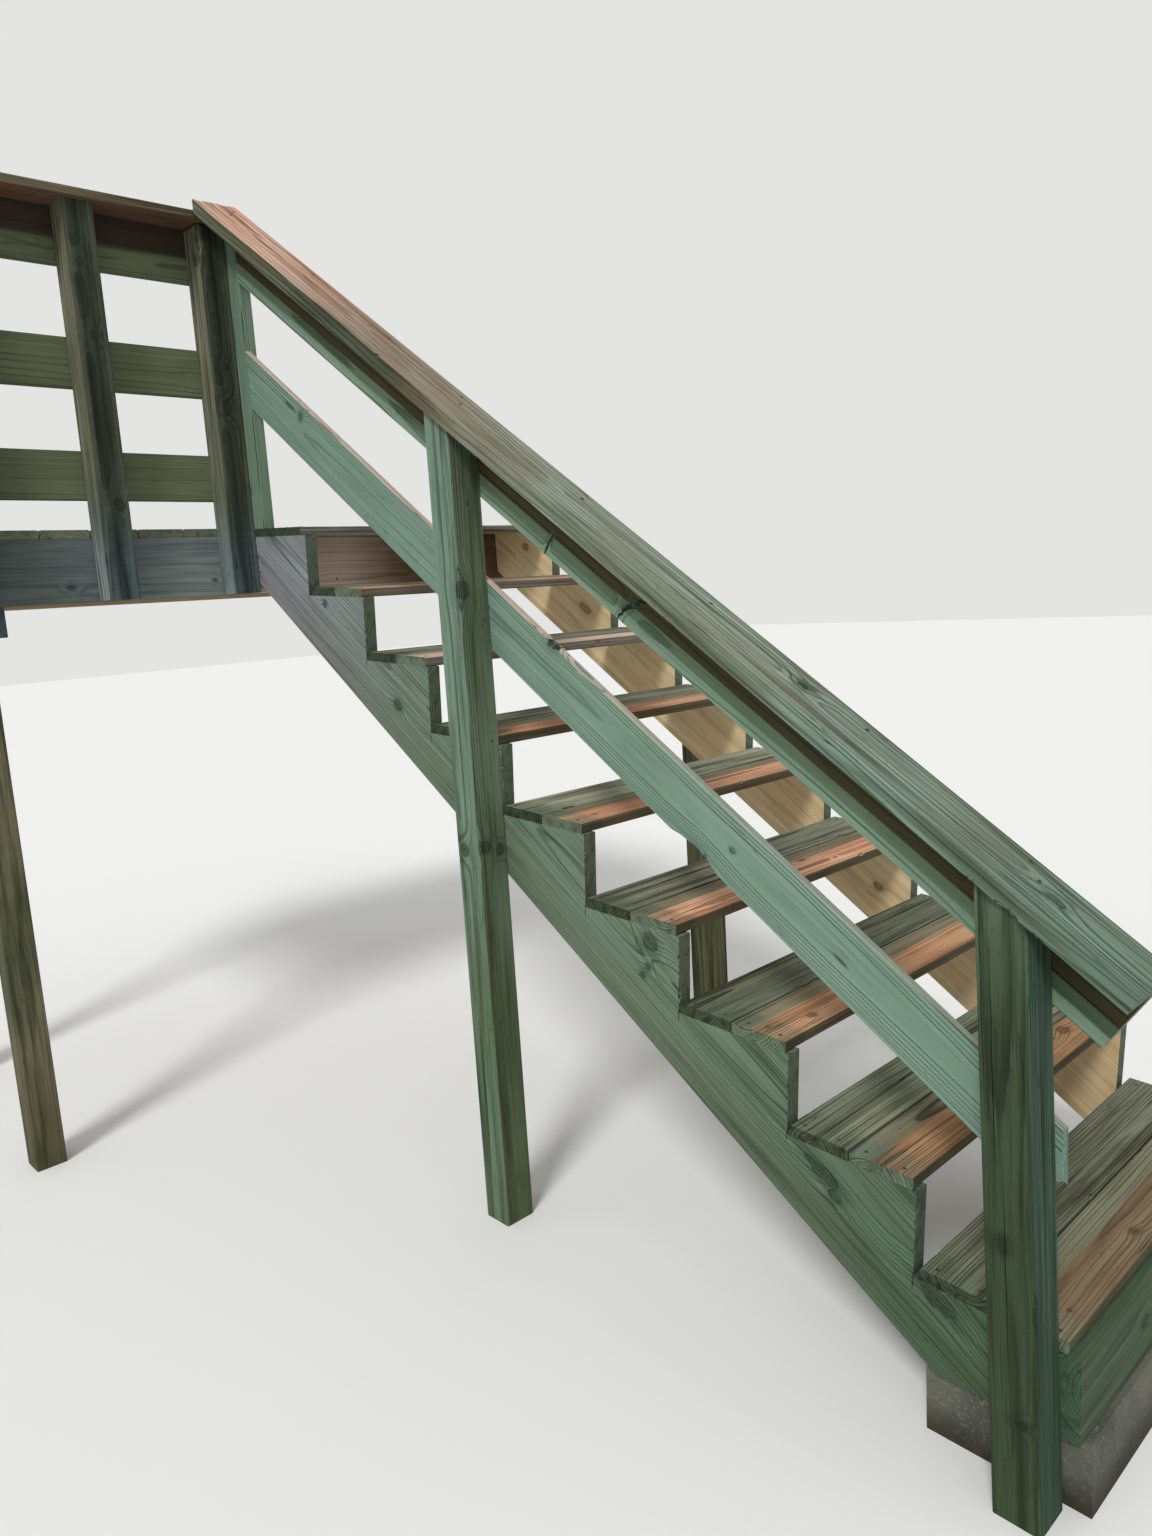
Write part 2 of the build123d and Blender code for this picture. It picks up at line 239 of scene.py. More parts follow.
# What years outdoors do to the surface: raised fibre, long stains and streaks, blotches, mildew specks, saw
# marks that show again, and drying cracks that open here and there.
weather, given, shown = new_group(
    "weather",
    {"Board": (0, 0, 0), "Seed": 0.0, "Cracks": 0.5},
    dict.fromkeys(("Fibre", "Stain", "Streak", "Blotch", "Crack", "Speck", "Saw"), 0.0),
)
board, shift = given["Board"], combine(times(given["Seed"], 2.3), given["Seed"], 17.0)
for mark, along, across, detail, *limits in (
    ("Fibre", 9.0, 340.0, 3.0),
    ("Stain", 2.2, 48.0, 4.0),
    ("Streak", 3.4, 120.0, 3.0, 0.06, 0.24),
    ("Blotch", 3.1, 9.0, 3.0),
    ("Speck", 110.0, 210.0, 2.0, 0.14, 0.27),
    ("Saw", 75.0, 22.0, 3.0),
):
    pattern = noise(board, shift, (along, across, across), detail)
    join(ease(pattern, *limits) if limits else pattern, shown[mark])
vein = maths("ABSOLUTE", noise(board, shift, (3.0, 95.0, 95.0), 1.0))
open_here = ease(noise(board, shift, (4.0, 21.0, 21.0), 1.0), 0.02, 0.16)
join(times(ease(vein, 0.012, 0.002), open_here, given["Cracks"]), shown["Crack"])

# Like boards side by side in one piece: each gets its own place in the log and a number of its own.
stack, given, shown = new_group(
    "board_of_stack",
    {"Board": (0, 0, 0), "Side": (0, 1, 0), "Start": 0.0, "Pitch": 1.0},
    {"Board": (0, 0, 0), "Number": 0.0},
)
board, side, start, pitch = (given[label] for label in ("Board", "Side", "Start", "Pitch"))
number = maths("FLOOR", maths("DIVIDE", maths("SUBTRACT", vectors("DOT_PRODUCT", board, side), start), pitch))
middle = scaled(maths("ADD", number, 0.5), pitch, start)
own = vectors("MULTIPLY", side, combine(middle, middle, middle))
join(vectors("SUBTRACT", board, own), shown["Board"])
join(number, shown["Number"])


def middle_of(name):
    low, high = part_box(name)
    return (low + high) / 2


def timber(name, turn, finish, knots=(), faces=(), zones=(), bands=(), nails=None, pile=None, seed=0.0):
    """A wood finish for the piece called name. turn gives its boards' own measures: x along the grain.

    Colours are as seen. Those of faces, zones and bands are what the finish's pale wood becomes there.
    knots: (place on the part, radius, its length by its width). faces: (direction, colour, amount).
    zones: (axis of the board, from, to, colour, amount), with a direction at the end where only the faces
    turned that way have it. bands: (axis, middle, half width, colour, amount).
    nails: distance of rusty nail marks from the board's middle, along and across it.
    pile: (axis, start, pitch) for boards side by side.
    """
    material, tree, surface, where = new_material(name.rstrip("s") + "_pine")
    paint = {part: srgb(*finish[part]) for part in ("pale", "late", "patch", "stain", "knot", "dark")}

    def tint(colour, amount, tone):
        change = [seen / pale for seen, pale in zip(srgb(*tone), paint["pale"])]
        return blend("MULTIPLY", amount, colour, change)

    def turned_to(direction):
        return ease(vectors("DOT_PRODUCT", where["Normal"], direction), 0.45, 0.85)

    middle = middle_of(name)
    own_place = {"Vector": where["Object"], "Location": middle, "Rotation": turn}
    board = add_node(tree, "ShaderNodeMapping", own_place, vector_type="TEXTURE")["Vector"]
    axes = add_node(tree, "ShaderNodeSeparateXYZ", {"Vector": board})
    own_seed = seed
    if pile:
        values = dict(zip(("Side", "Start", "Pitch"), pile))
        own_board = use_group(tree, stack, {"Board": board, **values})
        board = own_board["Board"]
        own_seed = scaled(own_board["Number"], 4.37, seed)
    upright = Euler(turn).to_matrix().transposed()
    push, heart, rim, halo = 0.0, 0.0, 0.0, 0.0
    for count, (place, radius, length) in enumerate(knots):
        values = {"Board": board, "Centre": upright @ (Vector(place) - middle), "Radius": radius}
        values.update({"Shape": (1 / length, 1.0, 1.0), "Seed": seed + 3.7 * count})
        found = use_group(tree, knot, values)
        push = maths("ADD", found["Push"], push)
        heart, rim, halo = (
            maths("MAXIMUM", found[part], so_far)
            for part, so_far in (("Heart", heart), ("Rim", rim), ("Halo", halo))
        )
    values = {"Board": board, "Seed": own_seed}
    worn = use_group(tree, weather, {**values, "Cracks": finish["cracks"]})
    values.update({"Pith": (0.0, *finish["pith"]), "Ring width": finish["ring"], "Wander": finish["wander"]})
    values.update({"Late from": finish["late_from"], "Plain to": finish.get("plain", 0.0), "Push": push})
    ring = use_group(tree, rings, values)
    along = upright.transposed() @ Vector((1, 0, 0))
    end_on = maths("ABSOLUTE", vectors("DOT_PRODUCT", where["Normal"], along))
    end_on = ease(end_on, 0.5, 0.8)
    side_on = maths("SUBTRACT", 1.0, end_on)
    late = times(ring["Latewood"], scaled(end_on, 0.5, finish["contrast"]))
    colour = blend("MIX", late, paint["pale"], paint["late"])
    patches = times(ease(worn["Blotch"], -0.12, 0.16), finish["patchy"])
    colour = blend("MIX", patches, colour, paint["patch"])
    streaks = times(ease(worn["Stain"], -0.04, 0.2), finish["streaky"])
    colour = blend("MULTIPLY", streaks, colour, paint["stain"])
    grain = scaled(worn["Fibre"], finish["fibre"], 0.94)
    grain = scaled(ring["Year"], 0.12, grain)
    grey = add_node(tree, "ShaderNodeCombineColor", dict.fromkeys(("Red", "Green", "Blue"), grain))["Color"]
    colour = blend("MULTIPLY", 1.0, colour, grey)
    for axis, start, end, tone, amount, *facing in zones:
        edge = scaled(worn["Stain"], 0.5 * (end - start), axes[axis])
        share = times(ease(edge, start, end), side_on, *map(turned_to, facing), amount)
        colour = tint(colour, share, tone)
    for axis, heart_line, half, tone, amount in bands:
        off = maths("ABSOLUTE", maths("SUBTRACT", axes[axis], heart_line))
        for mark, reach in (("Stain", 1.6), ("Blotch", 2.0), ("Saw", 1.1)):
            off = scaled(worn[mark], reach * half, off)
        colour = tint(colour, times(ease(off, half * 1.5, half * 0.35), side_on, amount), tone)
    for direction, tone, amount in faces:
        colour = tint(colour, times(turned_to(direction), side_on, amount), tone)
    colour = tint(colour, end_on, finish["end"])
    dirt = times(worn["Streak"], 0.55 * finish["streaky"])
    dirt = maths("MAXIMUM", dirt, times(worn["Speck"], 0.45))
    if nails:
        off = [maths("SUBTRACT", maths("ABSOLUTE", axes[axis]), at) for axis, at in zip("XZ", nails)]
        near = vectors("LENGTH", combine(times(off[0], 0.4), off[1], 0.0))
        near = scaled(worn["Stain"], 0.01, near)
        dirt = maths("MAXIMUM", dirt, times(ease(near, 0.012, 0.003), 0.7))
    colour = blend("MIX", dirt, colour, paint["dark"])
    if knots:
        for part, amount, tone in ((halo, 0.3, "late"), (heart, 0.75, "knot"), (rim, 0.8, "dark")):
            colour = blend("MIX", times(part, amount), colour, paint[tone])
    colour = blend("MIX", times(worn["Crack"], 0.9), colour, paint["dark"])
    join(colour, surface["Base Color"])
    rough = scaled(late, -0.14, 0.86)
    join(scaled(worn["Fibre"], 0.1, rough), surface["Roughness"])
    surface["Specular IOR Level"].default_value = 0.22
    height = scaled(worn["Fibre"], 0.6, times(late, 0.7))
    height = scaled(worn["Crack"], -2.2, height)
    if knots:
        height = scaled(rim, -0.9, height)
    join(bumped(height, 0.0008, 0.85), surface["Normal"])
    return material


def gouge(start, end, into, depth, width, seed, blunt=0.6, rough=1.0):
    """Corners and faces of an uneven spindle: what a split, a chip or a knot hole takes out of a board.

    It lies on the surface from start to end, as deep as depth in the direction of into, as wide as width.
    Its ends are blunter the smaller blunt is, and rough says how far it strays from an even spindle.
    """
    dice = random.Random(seed)
    start, end = Vector(start), Vector(end)
    along = (end - start).normalized()
    deep = Vector(into) - along * along.dot(Vector(into))
    deep.normalize()
    wide = along.cross(deep)
    rows, sides = 9, 8
    corners = [start]
    for row in range(1, rows):
        share = row / rows
        swell = sin(pi * share) ** blunt
        heart = start.lerp(end, share) + wide * dice.uniform(-0.3, 0.3) * width * rough
        for side in range(sides):
            angle = 2 * pi * side / sides
            reach = swell * dice.uniform(1 - 0.3 * rough, 1 + 0.2 * rough)
            corners.append(heart + (deep * depth * cos(angle) + wide * width / 2 * sin(angle)) * reach)
    corners.append(end)
    last = len(corners) - 1
    faces = [(0, 1 + (side + 1) % sides, 1 + side) for side in range(sides)]
    for row in range(rows - 2):
        for side in range(sides):
            a, b = 1 + row * sides + side, 1 + row * sides + (side + 1) % sides
            faces.append((a, b, b + sides, a + sides))
    faces += [(last, last - sides + side, last - sides + (side + 1) % sides) for side in range(sides)]
    return corners, faces


def dress(name, material):
    """Puts a finish on a piece of the frame."""
    slots = nodes[name].data.materials
    slots.clear()
    slots.append(material)


def new_object(name, data):
    made = bpy.data.objects.new(name, data)
    bpy.context.scene.collection.objects.link(made)
    return made


def settle(made):
    """Turns an object with a modifier into a plain mesh, and hands that back."""
    graph = bpy.context.evaluated_depsgraph_get()
    mesh = bpy.data.meshes.new_from_object(made.evaluated_get(graph), depsgraph=graph)
    made.modifiers.clear()
    made.data = mesh
    return mesh


def wear(name, slot_name, turn, finish, cuts=(), lift=None, **looks):
    """A worn board in place of the sharp one: its solid, with splits, chips and knot holes cut out of it.

    lift: (axis, place past which corners are moved, how far), where the real board is taller or thinner.
    looks: knots, faces, zones and the rest, as timber takes them.
    """
    shape = bmesh.new()
    shape.from_mesh(nodes[name].data)
    if lift:
        axis, edge, move = lift
        for corner in shape.verts:
            corner.co[axis] += move if corner.co[axis] > edge else 0.0
    bmesh.ops.remove_doubles(shape, verts=shape.verts, dist=1e-5)
    bmesh.ops.dissolve_limit(shape, angle_limit=radians(0.5), verts=shape.verts, edges=shape.edges)
    sharp = bpy.data.meshes.new(name + "_sharp")
    shape.to_mesh(sharp)
    shape.clear()
    for cut in cuts:
        corners, faces = gouge(*cut)
        made = [shape.verts.new(corner) for corner in corners]
        for face in faces:
            shape.faces.new([made[number] for number in face])
    bmesh.ops.recalc_face_normals(shape, faces=shape.faces)
    knives = bpy.data.meshes.new(name + "_cuts")
    shape.to_mesh(knives)
    shape.free()
    board, knife = new_object(name + "_worn", sharp), new_object(name + "_knife", knives)
    cutting = board.modifiers.new("cuts", "BOOLEAN")
    cutting.operation = "DIFFERENCE"
    cutting.solver = "EXACT"
    cutting.use_self = True
    cutting.object = knife
    materials = settle(board).materials
    bpy.data.objects.remove(knife)
    materials.clear()
    materials.append(timber(name, turn, finish, **looks))
    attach(board, "root")
    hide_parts(name)


def riser_cut(step, drop):
    """Place of a riser cut of a stringer, drop being how far down it: 0 at its top and 1 at its foot."""
    up = -TREAD_THICK - RISE * (step + drop)
    along = RUN * step
    x = FIRST_RISER + cos(FALL) * along + sin(FALL) * up
    return x, FACE, DECK_TOP + cos(FALL) * up - sin(FALL) * along


stringer_pine = dict(
    pale=(108, 128, 108), late=(32, 46, 32), patch=(102, 114, 100), stain=(178, 180, 158),
    knot=(40, 52, 36), dark=(18, 26, 18), end=(88, 102, 84), pith=(0.05, 0.055), ring=0.0064,
    late_from=0.56, wander=0.045, contrast=1.0, patchy=0.5, streaky=0.6, fibre=0.6, cracks=0.5,
)
stringer_cuts = []
dice = random.Random(5)
for step in range(1, 9):
    for chip in range(2 if step < 5 else 4):
        drop = dice.uniform(0.1, 0.8)
        chip_ends = (riser_cut(step, drop), riser_cut(step, drop + dice.uniform(0.05, 0.14)))
        stringer_cuts.append((*chip_ends, FRONT, dice.uniform(0.002, 0.005), 0.012, 10 * step + chip))
    x, y, z = riser_cut(step - 1, 1.0)
    overcut = ((x - 0.001, y, z + 0.01), (x - 0.002, y, z - dice.uniform(0.016, 0.034)))
    stringer_cuts.append((*overcut, IN, 0.02, 0.0028, step))
wear(
    "outer_stringer", "stringer_wood", DOWN_FLIGHT, stringer_pine, stringer_cuts,
    knots=(
        ((-0.328, -0.177, 1.667), 0.009, 1.3), ((0.009, -0.177, 1.375), 0.014, 1.5),
        ((0.934, -0.177, 0.865), 0.018, 1.3), ((0.923, -0.177, 0.804), 0.008, 1.2),
        ((0.906, -0.177, 0.781), 0.008, 1.2), ((1.382, -0.177, 0.466), 0.015, 3.2),
        ((1.411, -0.177, 0.421), 0.011, 1.6), ((1.634, -0.177, 0.298), 0.019, 2.4),
    ),
    zones=(
        ("Z", 0.0, -0.09, (100, 112, 92), 0.6),
        ("X", -0.5, -1.3, (138, 142, 148), 0.85),
        ("X", 0.2, 1.5, (78, 102, 78), 1.0),
    ),
    seed=3,
)

# Inner stringer: the same board against the wall side. It has kept the honey colour of new treated pine,
# paler where light reaches it between the treads, with eye knots along its upper edge.
honey_pine = dict(
    pale=(206, 180, 138), late=(140, 114, 76), patch=(214, 194, 156), stain=(190, 178, 150),
    knot=(84, 62, 38), dark=(40, 32, 20), end=(96, 104, 88), pith=(-0.06, -0.02), ring=0.0064,
    late_from=0.5, wander=0.035, contrast=0.7, patchy=0.5, streaky=0.35, fibre=0.3, cracks=0.35,
)


def dress_boards(name, turn, finish, **looks):
    """Puts a wood finish on a piece of the frame; looks are as timber takes them."""
    dress(name, timber(name, turn, finish, **looks))


dress_boards(
    "inner_stringer", DOWN_FLIGHT, honey_pine,
    knots=(
        ((-0.251, 0.825, 1.596), 0.014, 2.4), ((0.598, 0.825, 1.231), 0.013, 2.0),
        ((0.912, 0.825, 0.755), 0.010, 1.6), ((-0.55, 0.825, 1.83), 0.012, 1.5),
    ),
    faces=((IN, (140, 128, 96), 0.8),),
    seed=11,
)

# Header between the stringers and the deck's end joist behind it: level boards on edge, nailed together.
# Under the head boards they are still brown; the open stretch of the end joist has gone blue-grey.
ACROSS = (0.0, 0.0, pi / 2)
header_pine = dict(
    honey_pine, pale=(198, 180, 166), late=(128, 106, 86), patch=(172, 158, 142),
    pith=(-0.07, -0.05), ring=0.006, wander=0.016, cracks=0.5,
)
dress_boards(
    "stair_header", ACROSS, header_pine,
    knots=(((-0.723, 0.02, 1.78), 0.009, 1.5), ((-0.723, 0.55, 1.74), 0.011, 1.8)),
    # Painted shadow: the header's end towards the wall is darker brown.
    zones=(("X", -0.25, 0.1, (104, 84, 56), 1.0),),
    pile=((0, 1, 0), -0.038, 0.038),
    seed=21,
)
slate_pine = dict(
    stringer_pine, pale=(86, 96, 95), late=(54, 62, 62), patch=(92, 100, 92), stain=(176, 182, 180),
    knot=(34, 40, 38), end=(86, 94, 96), pith=(-0.08, -0.06), ring=0.005, wander=0.02, contrast=0.7,
)
dress_boards(
    "end_joist", ACROSS, slate_pine,
    knots=(((-0.799, -0.735, 1.759), 0.008, 1.7), ((-0.799, -0.289, 1.765), 0.006, 1.3)),
    zones=(("X", -0.95, -0.4, (120, 131, 132), 1.0), ("X", -0.2, 0.0, (128, 112, 84), 0.8)),
    seed=24,
)

# Rim, ledger and joists: the rest of the deck's frame, the same boards nailed up on edge. The outer rim has
# gone slate grey with the weather, and the ledger and the joists under the deck boards have stayed brown.
LENGTHWISE = (0.0, 0.0, 0.0)
dress_boards(
    "outer_rim", LENGTHWISE, dict(slate_pine, pith=(0.08, 0.03)),
    knots=(((-1.25, -1.09, 1.79), 0.012, 1.5), ((-1.72, -1.09, 1.84), 0.008, 1.3)),
    seed=31,
)
dress_boards("ledger", LENGTHWISE, dict(header_pine, pith=(0.08, 0.02)), seed=34.0)
dress_boards(
    "joists", ACROSS, dict(header_pine, pith=(0.07, 0.02), pale=(150, 132, 98)),
    pile=((0, 1, 0), -0.6, 0.406),
    seed=37,
)

# Steps: two 5/4 boards each, rounded on their long edges and nailed down on the stringers. The rear boards
# are old and grey-green with raised grain; the front ones carry painted warm lamplight as an orange tan,
# which is partly also wear where feet land.
TREAD_TURN = (FALL, 0.0, pi / 2)
HALF_LENGTH, HALF_WIDTH, HALF_THICK = 0.525, 0.07, TREAD_THICK / 2
SCREWS_AT = (0.5015, 0.042)  # from the middle of a board, along and across it
rear_tread_pine = dict(
    pale=(146, 148, 126), late=(40, 42, 30), patch=(112, 122, 104), stain=(140, 138, 122),
    knot=(44, 40, 30), dark=(26, 26, 20), end=(66, 80, 58), pith=(0.02, -0.05), ring=0.0046,
    late_from=0.3, wander=0.014, contrast=1.0, patchy=0.4, streaky=0.9, fibre=1.2, cracks=1.0,
)
# The front boards' orange tan is painted warm lamplight, partly also wear.
front_tread_pine = dict(
    pale=(204, 158, 124), late=(104, 62, 38), patch=(178, 120, 86), stain=(178, 158, 136),
    knot=(92, 54, 34), dark=(46, 34, 24), end=(104, 124, 104), pith=(-0.01, -0.04), ring=0.0056,
    late_from=0.45, wander=0.016, contrast=0.95, patchy=0.6, streaky=0.6, fibre=0.8, cracks=0.9,
)
tread_knots = dict(
    tread_4_front=(((0.687, -0.089, 1.119), 0.006, 1.3),),
    tread_5_front=(((0.979, 0.503, 0.923), 0.005, 1.6), ((0.930, 0.423, 0.925), 0.007, 2.2)),
    tread_6_front=(((1.233, -0.145, 0.729), 0.005, 1.2), ((1.265, -0.031, 0.727), 0.009, 1.5)),
    tread_7_front=(((1.522, 0.647, 0.532), 0.012, 1.6),),
    tread_8_front=(((1.842, 0.224, 0.335), 0.009, 1.4), ((1.845, -0.095, 0.334), 0.004, 1.2)),
    tread_7_rear=(((1.36, 0.35, 0.55), 0.009, 1.5),),
    tread_2_rear=(((-0.06, 0.5, 1.52), 0.009, 1.5),),
)
# The front boards' colours step by step carry the painted lamplight: brightest near the head, dimmer down the
# flight.
tread_looks = dict(
    tread_2_front=dict(pale=(222, 196, 178), late=(150, 118, 98), patch=(206, 172, 150)),
    tread_4_rear=dict(pale=(172, 174, 150), late=(66, 68, 50)),
    tread_5_front=dict(pale=(220, 172, 136), pith=(-0.03, 0.06)),
    tread_6_front=dict(pale=(200, 156, 118), late=(84, 52, 32), patch=(176, 124, 88), pith=(0.035, 0.055)),
    tread_6_rear=dict(pale=(112, 114, 94), late=(30, 32, 22)),
    tread_7_front=dict(
        pale=(162, 126, 90), late=(50, 34, 20), patch=(128, 94, 62),
        pith=(0.03, -0.035), ring=0.0072, wander=0.045,
    ),
    tread_7_rear=dict(
        pale=(136, 140, 116), late=(50, 50, 34),
        pith=(0.01, -0.028), ring=0.0080, late_from=0.55, wander=0.03, fibre=0.8,
    ),
    tread_8_front=dict(
        pale=(126, 111, 86), late=(78, 58, 38), patch=(116, 94, 66),
        pith=(0.0, 0.03), ring=0.0085, wander=0.06,
    ),
    tread_8_rear=dict(pale=(120, 122, 102), late=(44, 44, 32), pith=(-0.03, 0.04), ring=0.0070, wander=0.03),
)


def tread_place(name):
    """From a tread board's own measures to places on the part."""
    return Matrix.Translation(middle_of(name)) @ Euler(TREAD_TURN).to_matrix().to_4x4()


for step in range(1, 9):
    for place, finish in (("rear", rear_tread_pine), ("front", front_tread_pine)):
        name = f"tread_{step}_{place}"
        side = -1 if (step * 5 + len(place)) % 3 == 0 else 1
        pith = (0.015 * side * (step % 4), 0.045 * side)
        if place == "front":
            # Painted shade on the front boards' nose faces and undersides.
            shaded_nose = (116, 114, 106) if step < 3 else (78, 76, 56)
            faces = ((FRONT, shaded_nose, 0.95), ((0, 0, -1), (112, 118, 96), 0.9))
            # Painted shadow: a grey-green strip along the rear of each front board.
            zones = (("Y", 0.015, 0.022, (122, 126, 104), 0.9),)
            if step > 2:
                # Painted shadow of the stringer and rails at the outer end of the front boards.
                zones += (("X", -0.44, -0.475, (124, 126, 100), 0.55),)
        else:
            # Painted shade on the rear boards' front faces, in the gap between the boards.
            faces = ((FRONT, (92, 98, 78), 0.8),)
            zones = (("X", -0.42, -0.5, (92, 106, 84), 0.6),)
        on_part = tread_place(name)
        down = on_part.to_3x3() @ Vector((0, 0, -1))
        dice = random.Random(step * 10 + len(place))
        cuts = []
        for end in (-1, -1, 1, 1):
            across = dice.uniform(-0.06, 0.06)
            top = dice.choice((-1, 1)) * HALF_THICK
            reach = end * (HALF_LENGTH - dice.uniform(0.05, 0.2))
            tip = Vector((reach, across + dice.uniform(-0.008, 0.008), top))
            mouth = Vector((end * (HALF_LENGTH + 0.03), across, top))
            size = (dice.uniform(0.008, 0.018), dice.uniform(0.001, 0.0022), dice.randrange(999))
            cuts.append((on_part @ tip, on_part @ mouth, down, *size))
        for _ in range(3):
            edge = dice.choice((-1, 1)) * HALF_WIDTH
            start = dice.uniform(-0.5, 0.42)
            chip_ends = [Vector((x, edge, HALF_THICK)) for x in (start, start + dice.uniform(0.02, 0.07))]
            size = (dice.uniform(0.004, 0.007), dice.uniform(0.008, 0.013), dice.randrange(999))
            cuts.append((*(on_part @ chip_end for chip_end in chip_ends), down, *size))
        own = {**finish, "pith": pith, **tread_looks.get(name, {})}
        wear(
            name, f"tread_{place}_wood", TREAD_TURN, own, cuts,
            knots=tread_knots.get(name, ()),
            faces=faces,
            zones=zones,
            nails=SCREWS_AT,
            seed=40.0 + step * 2.3 + len(place),
        )

# Head boards: the top step, two whole boards of 5/4 pine and a ripped one, screwed down on the stringers'
# heads and the header. They are as grey as the rear boards, with a brown tinge.
dress_boards(
    "top_tread", TREAD_TURN, dict(rear_tread_pine, pale=(158, 142, 122), late=(92, 80, 60)),
    # Painted shade on the front edge.
    faces=((FRONT, (132, 128, 120), 0.8),),
    pile=((0, 1, 0), -0.182, 0.143),
    seed=71,
)

# Kick board: closes the foot of the flight, a board on edge nailed across the stringers' front cuts. It is
# the darkest green of all.
dress_boards(
    "kick_board", ACROSS,
    dict(
        stringer_pine, pale=(74, 92, 70), late=(38, 52, 34), patch=(66, 84, 60), end=(70, 94, 74),
        pith=(-0.07, 0.03),
    ),
    knots=(((1.8995, 0.12, 0.22), 0.011, 1.6),),
    seed=76,
)

# Upright post half way down: a boxed-heart 4x4, mint on its outer face and duller on its front, where shade
# is painted in.
# Its cap end is cut to the slope, a whorl of knots rings it, and it has split along its length in drying.
UPRIGHT = (0.0, -pi / 2, 0.0)
POST_FACE = -0.2665
MID_FRONT = 0.4452
post_pine = dict(
    stringer_pine, pale=(112, 134, 118), late=(52, 72, 54), patch=(92, 110, 88), stain=(160, 168, 150),
    knot=(30, 36, 25), end=(110, 112, 92), pith=(0.02, 0.03), ring=0.0074, late_from=0.35,
    wander=0.024, contrast=0.9, patchy=0.6, streaky=0.8, fibre=0.7,
)
wear(
    "mid_post", "post_wood", UPRIGHT, post_pine,
    (
        ((MID_FRONT, -0.196, 1.05), (MID_FRONT, -0.199, 1.42), BACK, 0.016, 0.0022, 1),
        ((MID_FRONT, -0.231, 0.35), (MID_FRONT, -0.227, 0.92), BACK, 0.018, 0.0025, 2),
        ((0.392, POST_FACE, 0.18), (0.389, POST_FACE, 0.60), IN, 0.015, 0.002, 3),
        ((0.3565, POST_FACE, 0.95), (0.3565, POST_FACE, 1.03), (1, 1, 0), 0.006, 0.009, 4),
        ((MID_FRONT, POST_FACE, 1.62), (MID_FRONT, POST_FACE, 1.70), (-1, 1, 0), 0.005, 0.008, 5),
    ),
    knots=(
        ((0.445, -0.255, 1.680), 0.017, 1.4), ((0.385, -0.267, 1.026), 0.015, 1.2),
        ((0.445, -0.243, 1.036), 0.014, 1.2), ((0.445, -0.200, 1.020), 0.012, 1.2),
    ),
    # Painted shade on the front face.
    faces=((FRONT, (96, 112, 90), 0.95),),
    zones=(("X", -0.1, -0.5, (96, 116, 90), 0.9), ("X", -1.05, -1.2, (84, 96, 66), 0.7)),
    seed=81,
)

# Post at the foot: a 4x4 that leans back, old and olive, with strong dark stripes up its face and a
# slate-green side. Long drying splits run up both.
LEANING = (0.0, -pi / 2 - 0.029, 0.0)
old_post_pine = dict(
    post_pine, pale=(62, 78, 55), late=(16, 24, 12), patch=(50, 64, 40), knot=(30, 38, 24),
    end=(84, 84, 62), pith=(0.075, 0.01), ring=0.0064, late_from=0.3, contrast=1.0, streaky=0.9,
    fibre=0.9, wander=0.02, cracks=0.9,
)
wear(
    "bottom_post", "bottom_post_wood", LEANING, old_post_pine,
    (
        ((1.789, POST_FACE, 0.62), (1.776, POST_FACE, 1.08), IN, 0.018, 0.0026, 11),
        ((1.812, POST_FACE, 0.30), (1.801, POST_FACE, 0.66), IN, 0.016, 0.002, 12),
        ((1.771, POST_FACE, 0.72), (1.758, POST_FACE, 1.12), IN, 0.012, 0.0018, 13),
        ((1.8525, -0.232, 0.58), (1.8410, -0.228, 0.98), BACK, 0.018, 0.0026, 14),
        ((1.8650, -0.205, 0.10), (1.8540, -0.208, 0.50), BACK, 0.014, 0.002, 15),
        ((1.8585, POST_FACE, 0.38), (1.8555, POST_FACE, 0.47), (-1, 1, 0), 0.006, 0.009, 16),
    ),
    knots=(((1.802, -0.267, 0.528), 0.009, 1.5), ((1.833, -0.267, 0.203), 0.011, 0.7)),
    faces=((FRONT, (60, 86, 70), 0.85),),
    zones=(("X", -0.5, -0.8, (68, 86, 46), 0.8), ("X", 0.25, 0.6, (92, 112, 88), 0.8)),
    seed=84,
)

# Short post on the wall side of the inner stringer: a 4x4 from the ground up, nailed to the board that it
# props. It is drier than the outer posts and browner.
dress_boards(
    "inner_post", UPRIGHT,
    dict(old_post_pine, pale=(108, 110, 80), late=(52, 54, 32), patch=(86, 88, 56), pith=(0.03, 0.02)),
    knots=(((0.2305, 0.89, 0.93), 0.013, 1.4), ((0.2305, 0.88, 0.55), 0.009, 1.4)),
    seed=87,
)
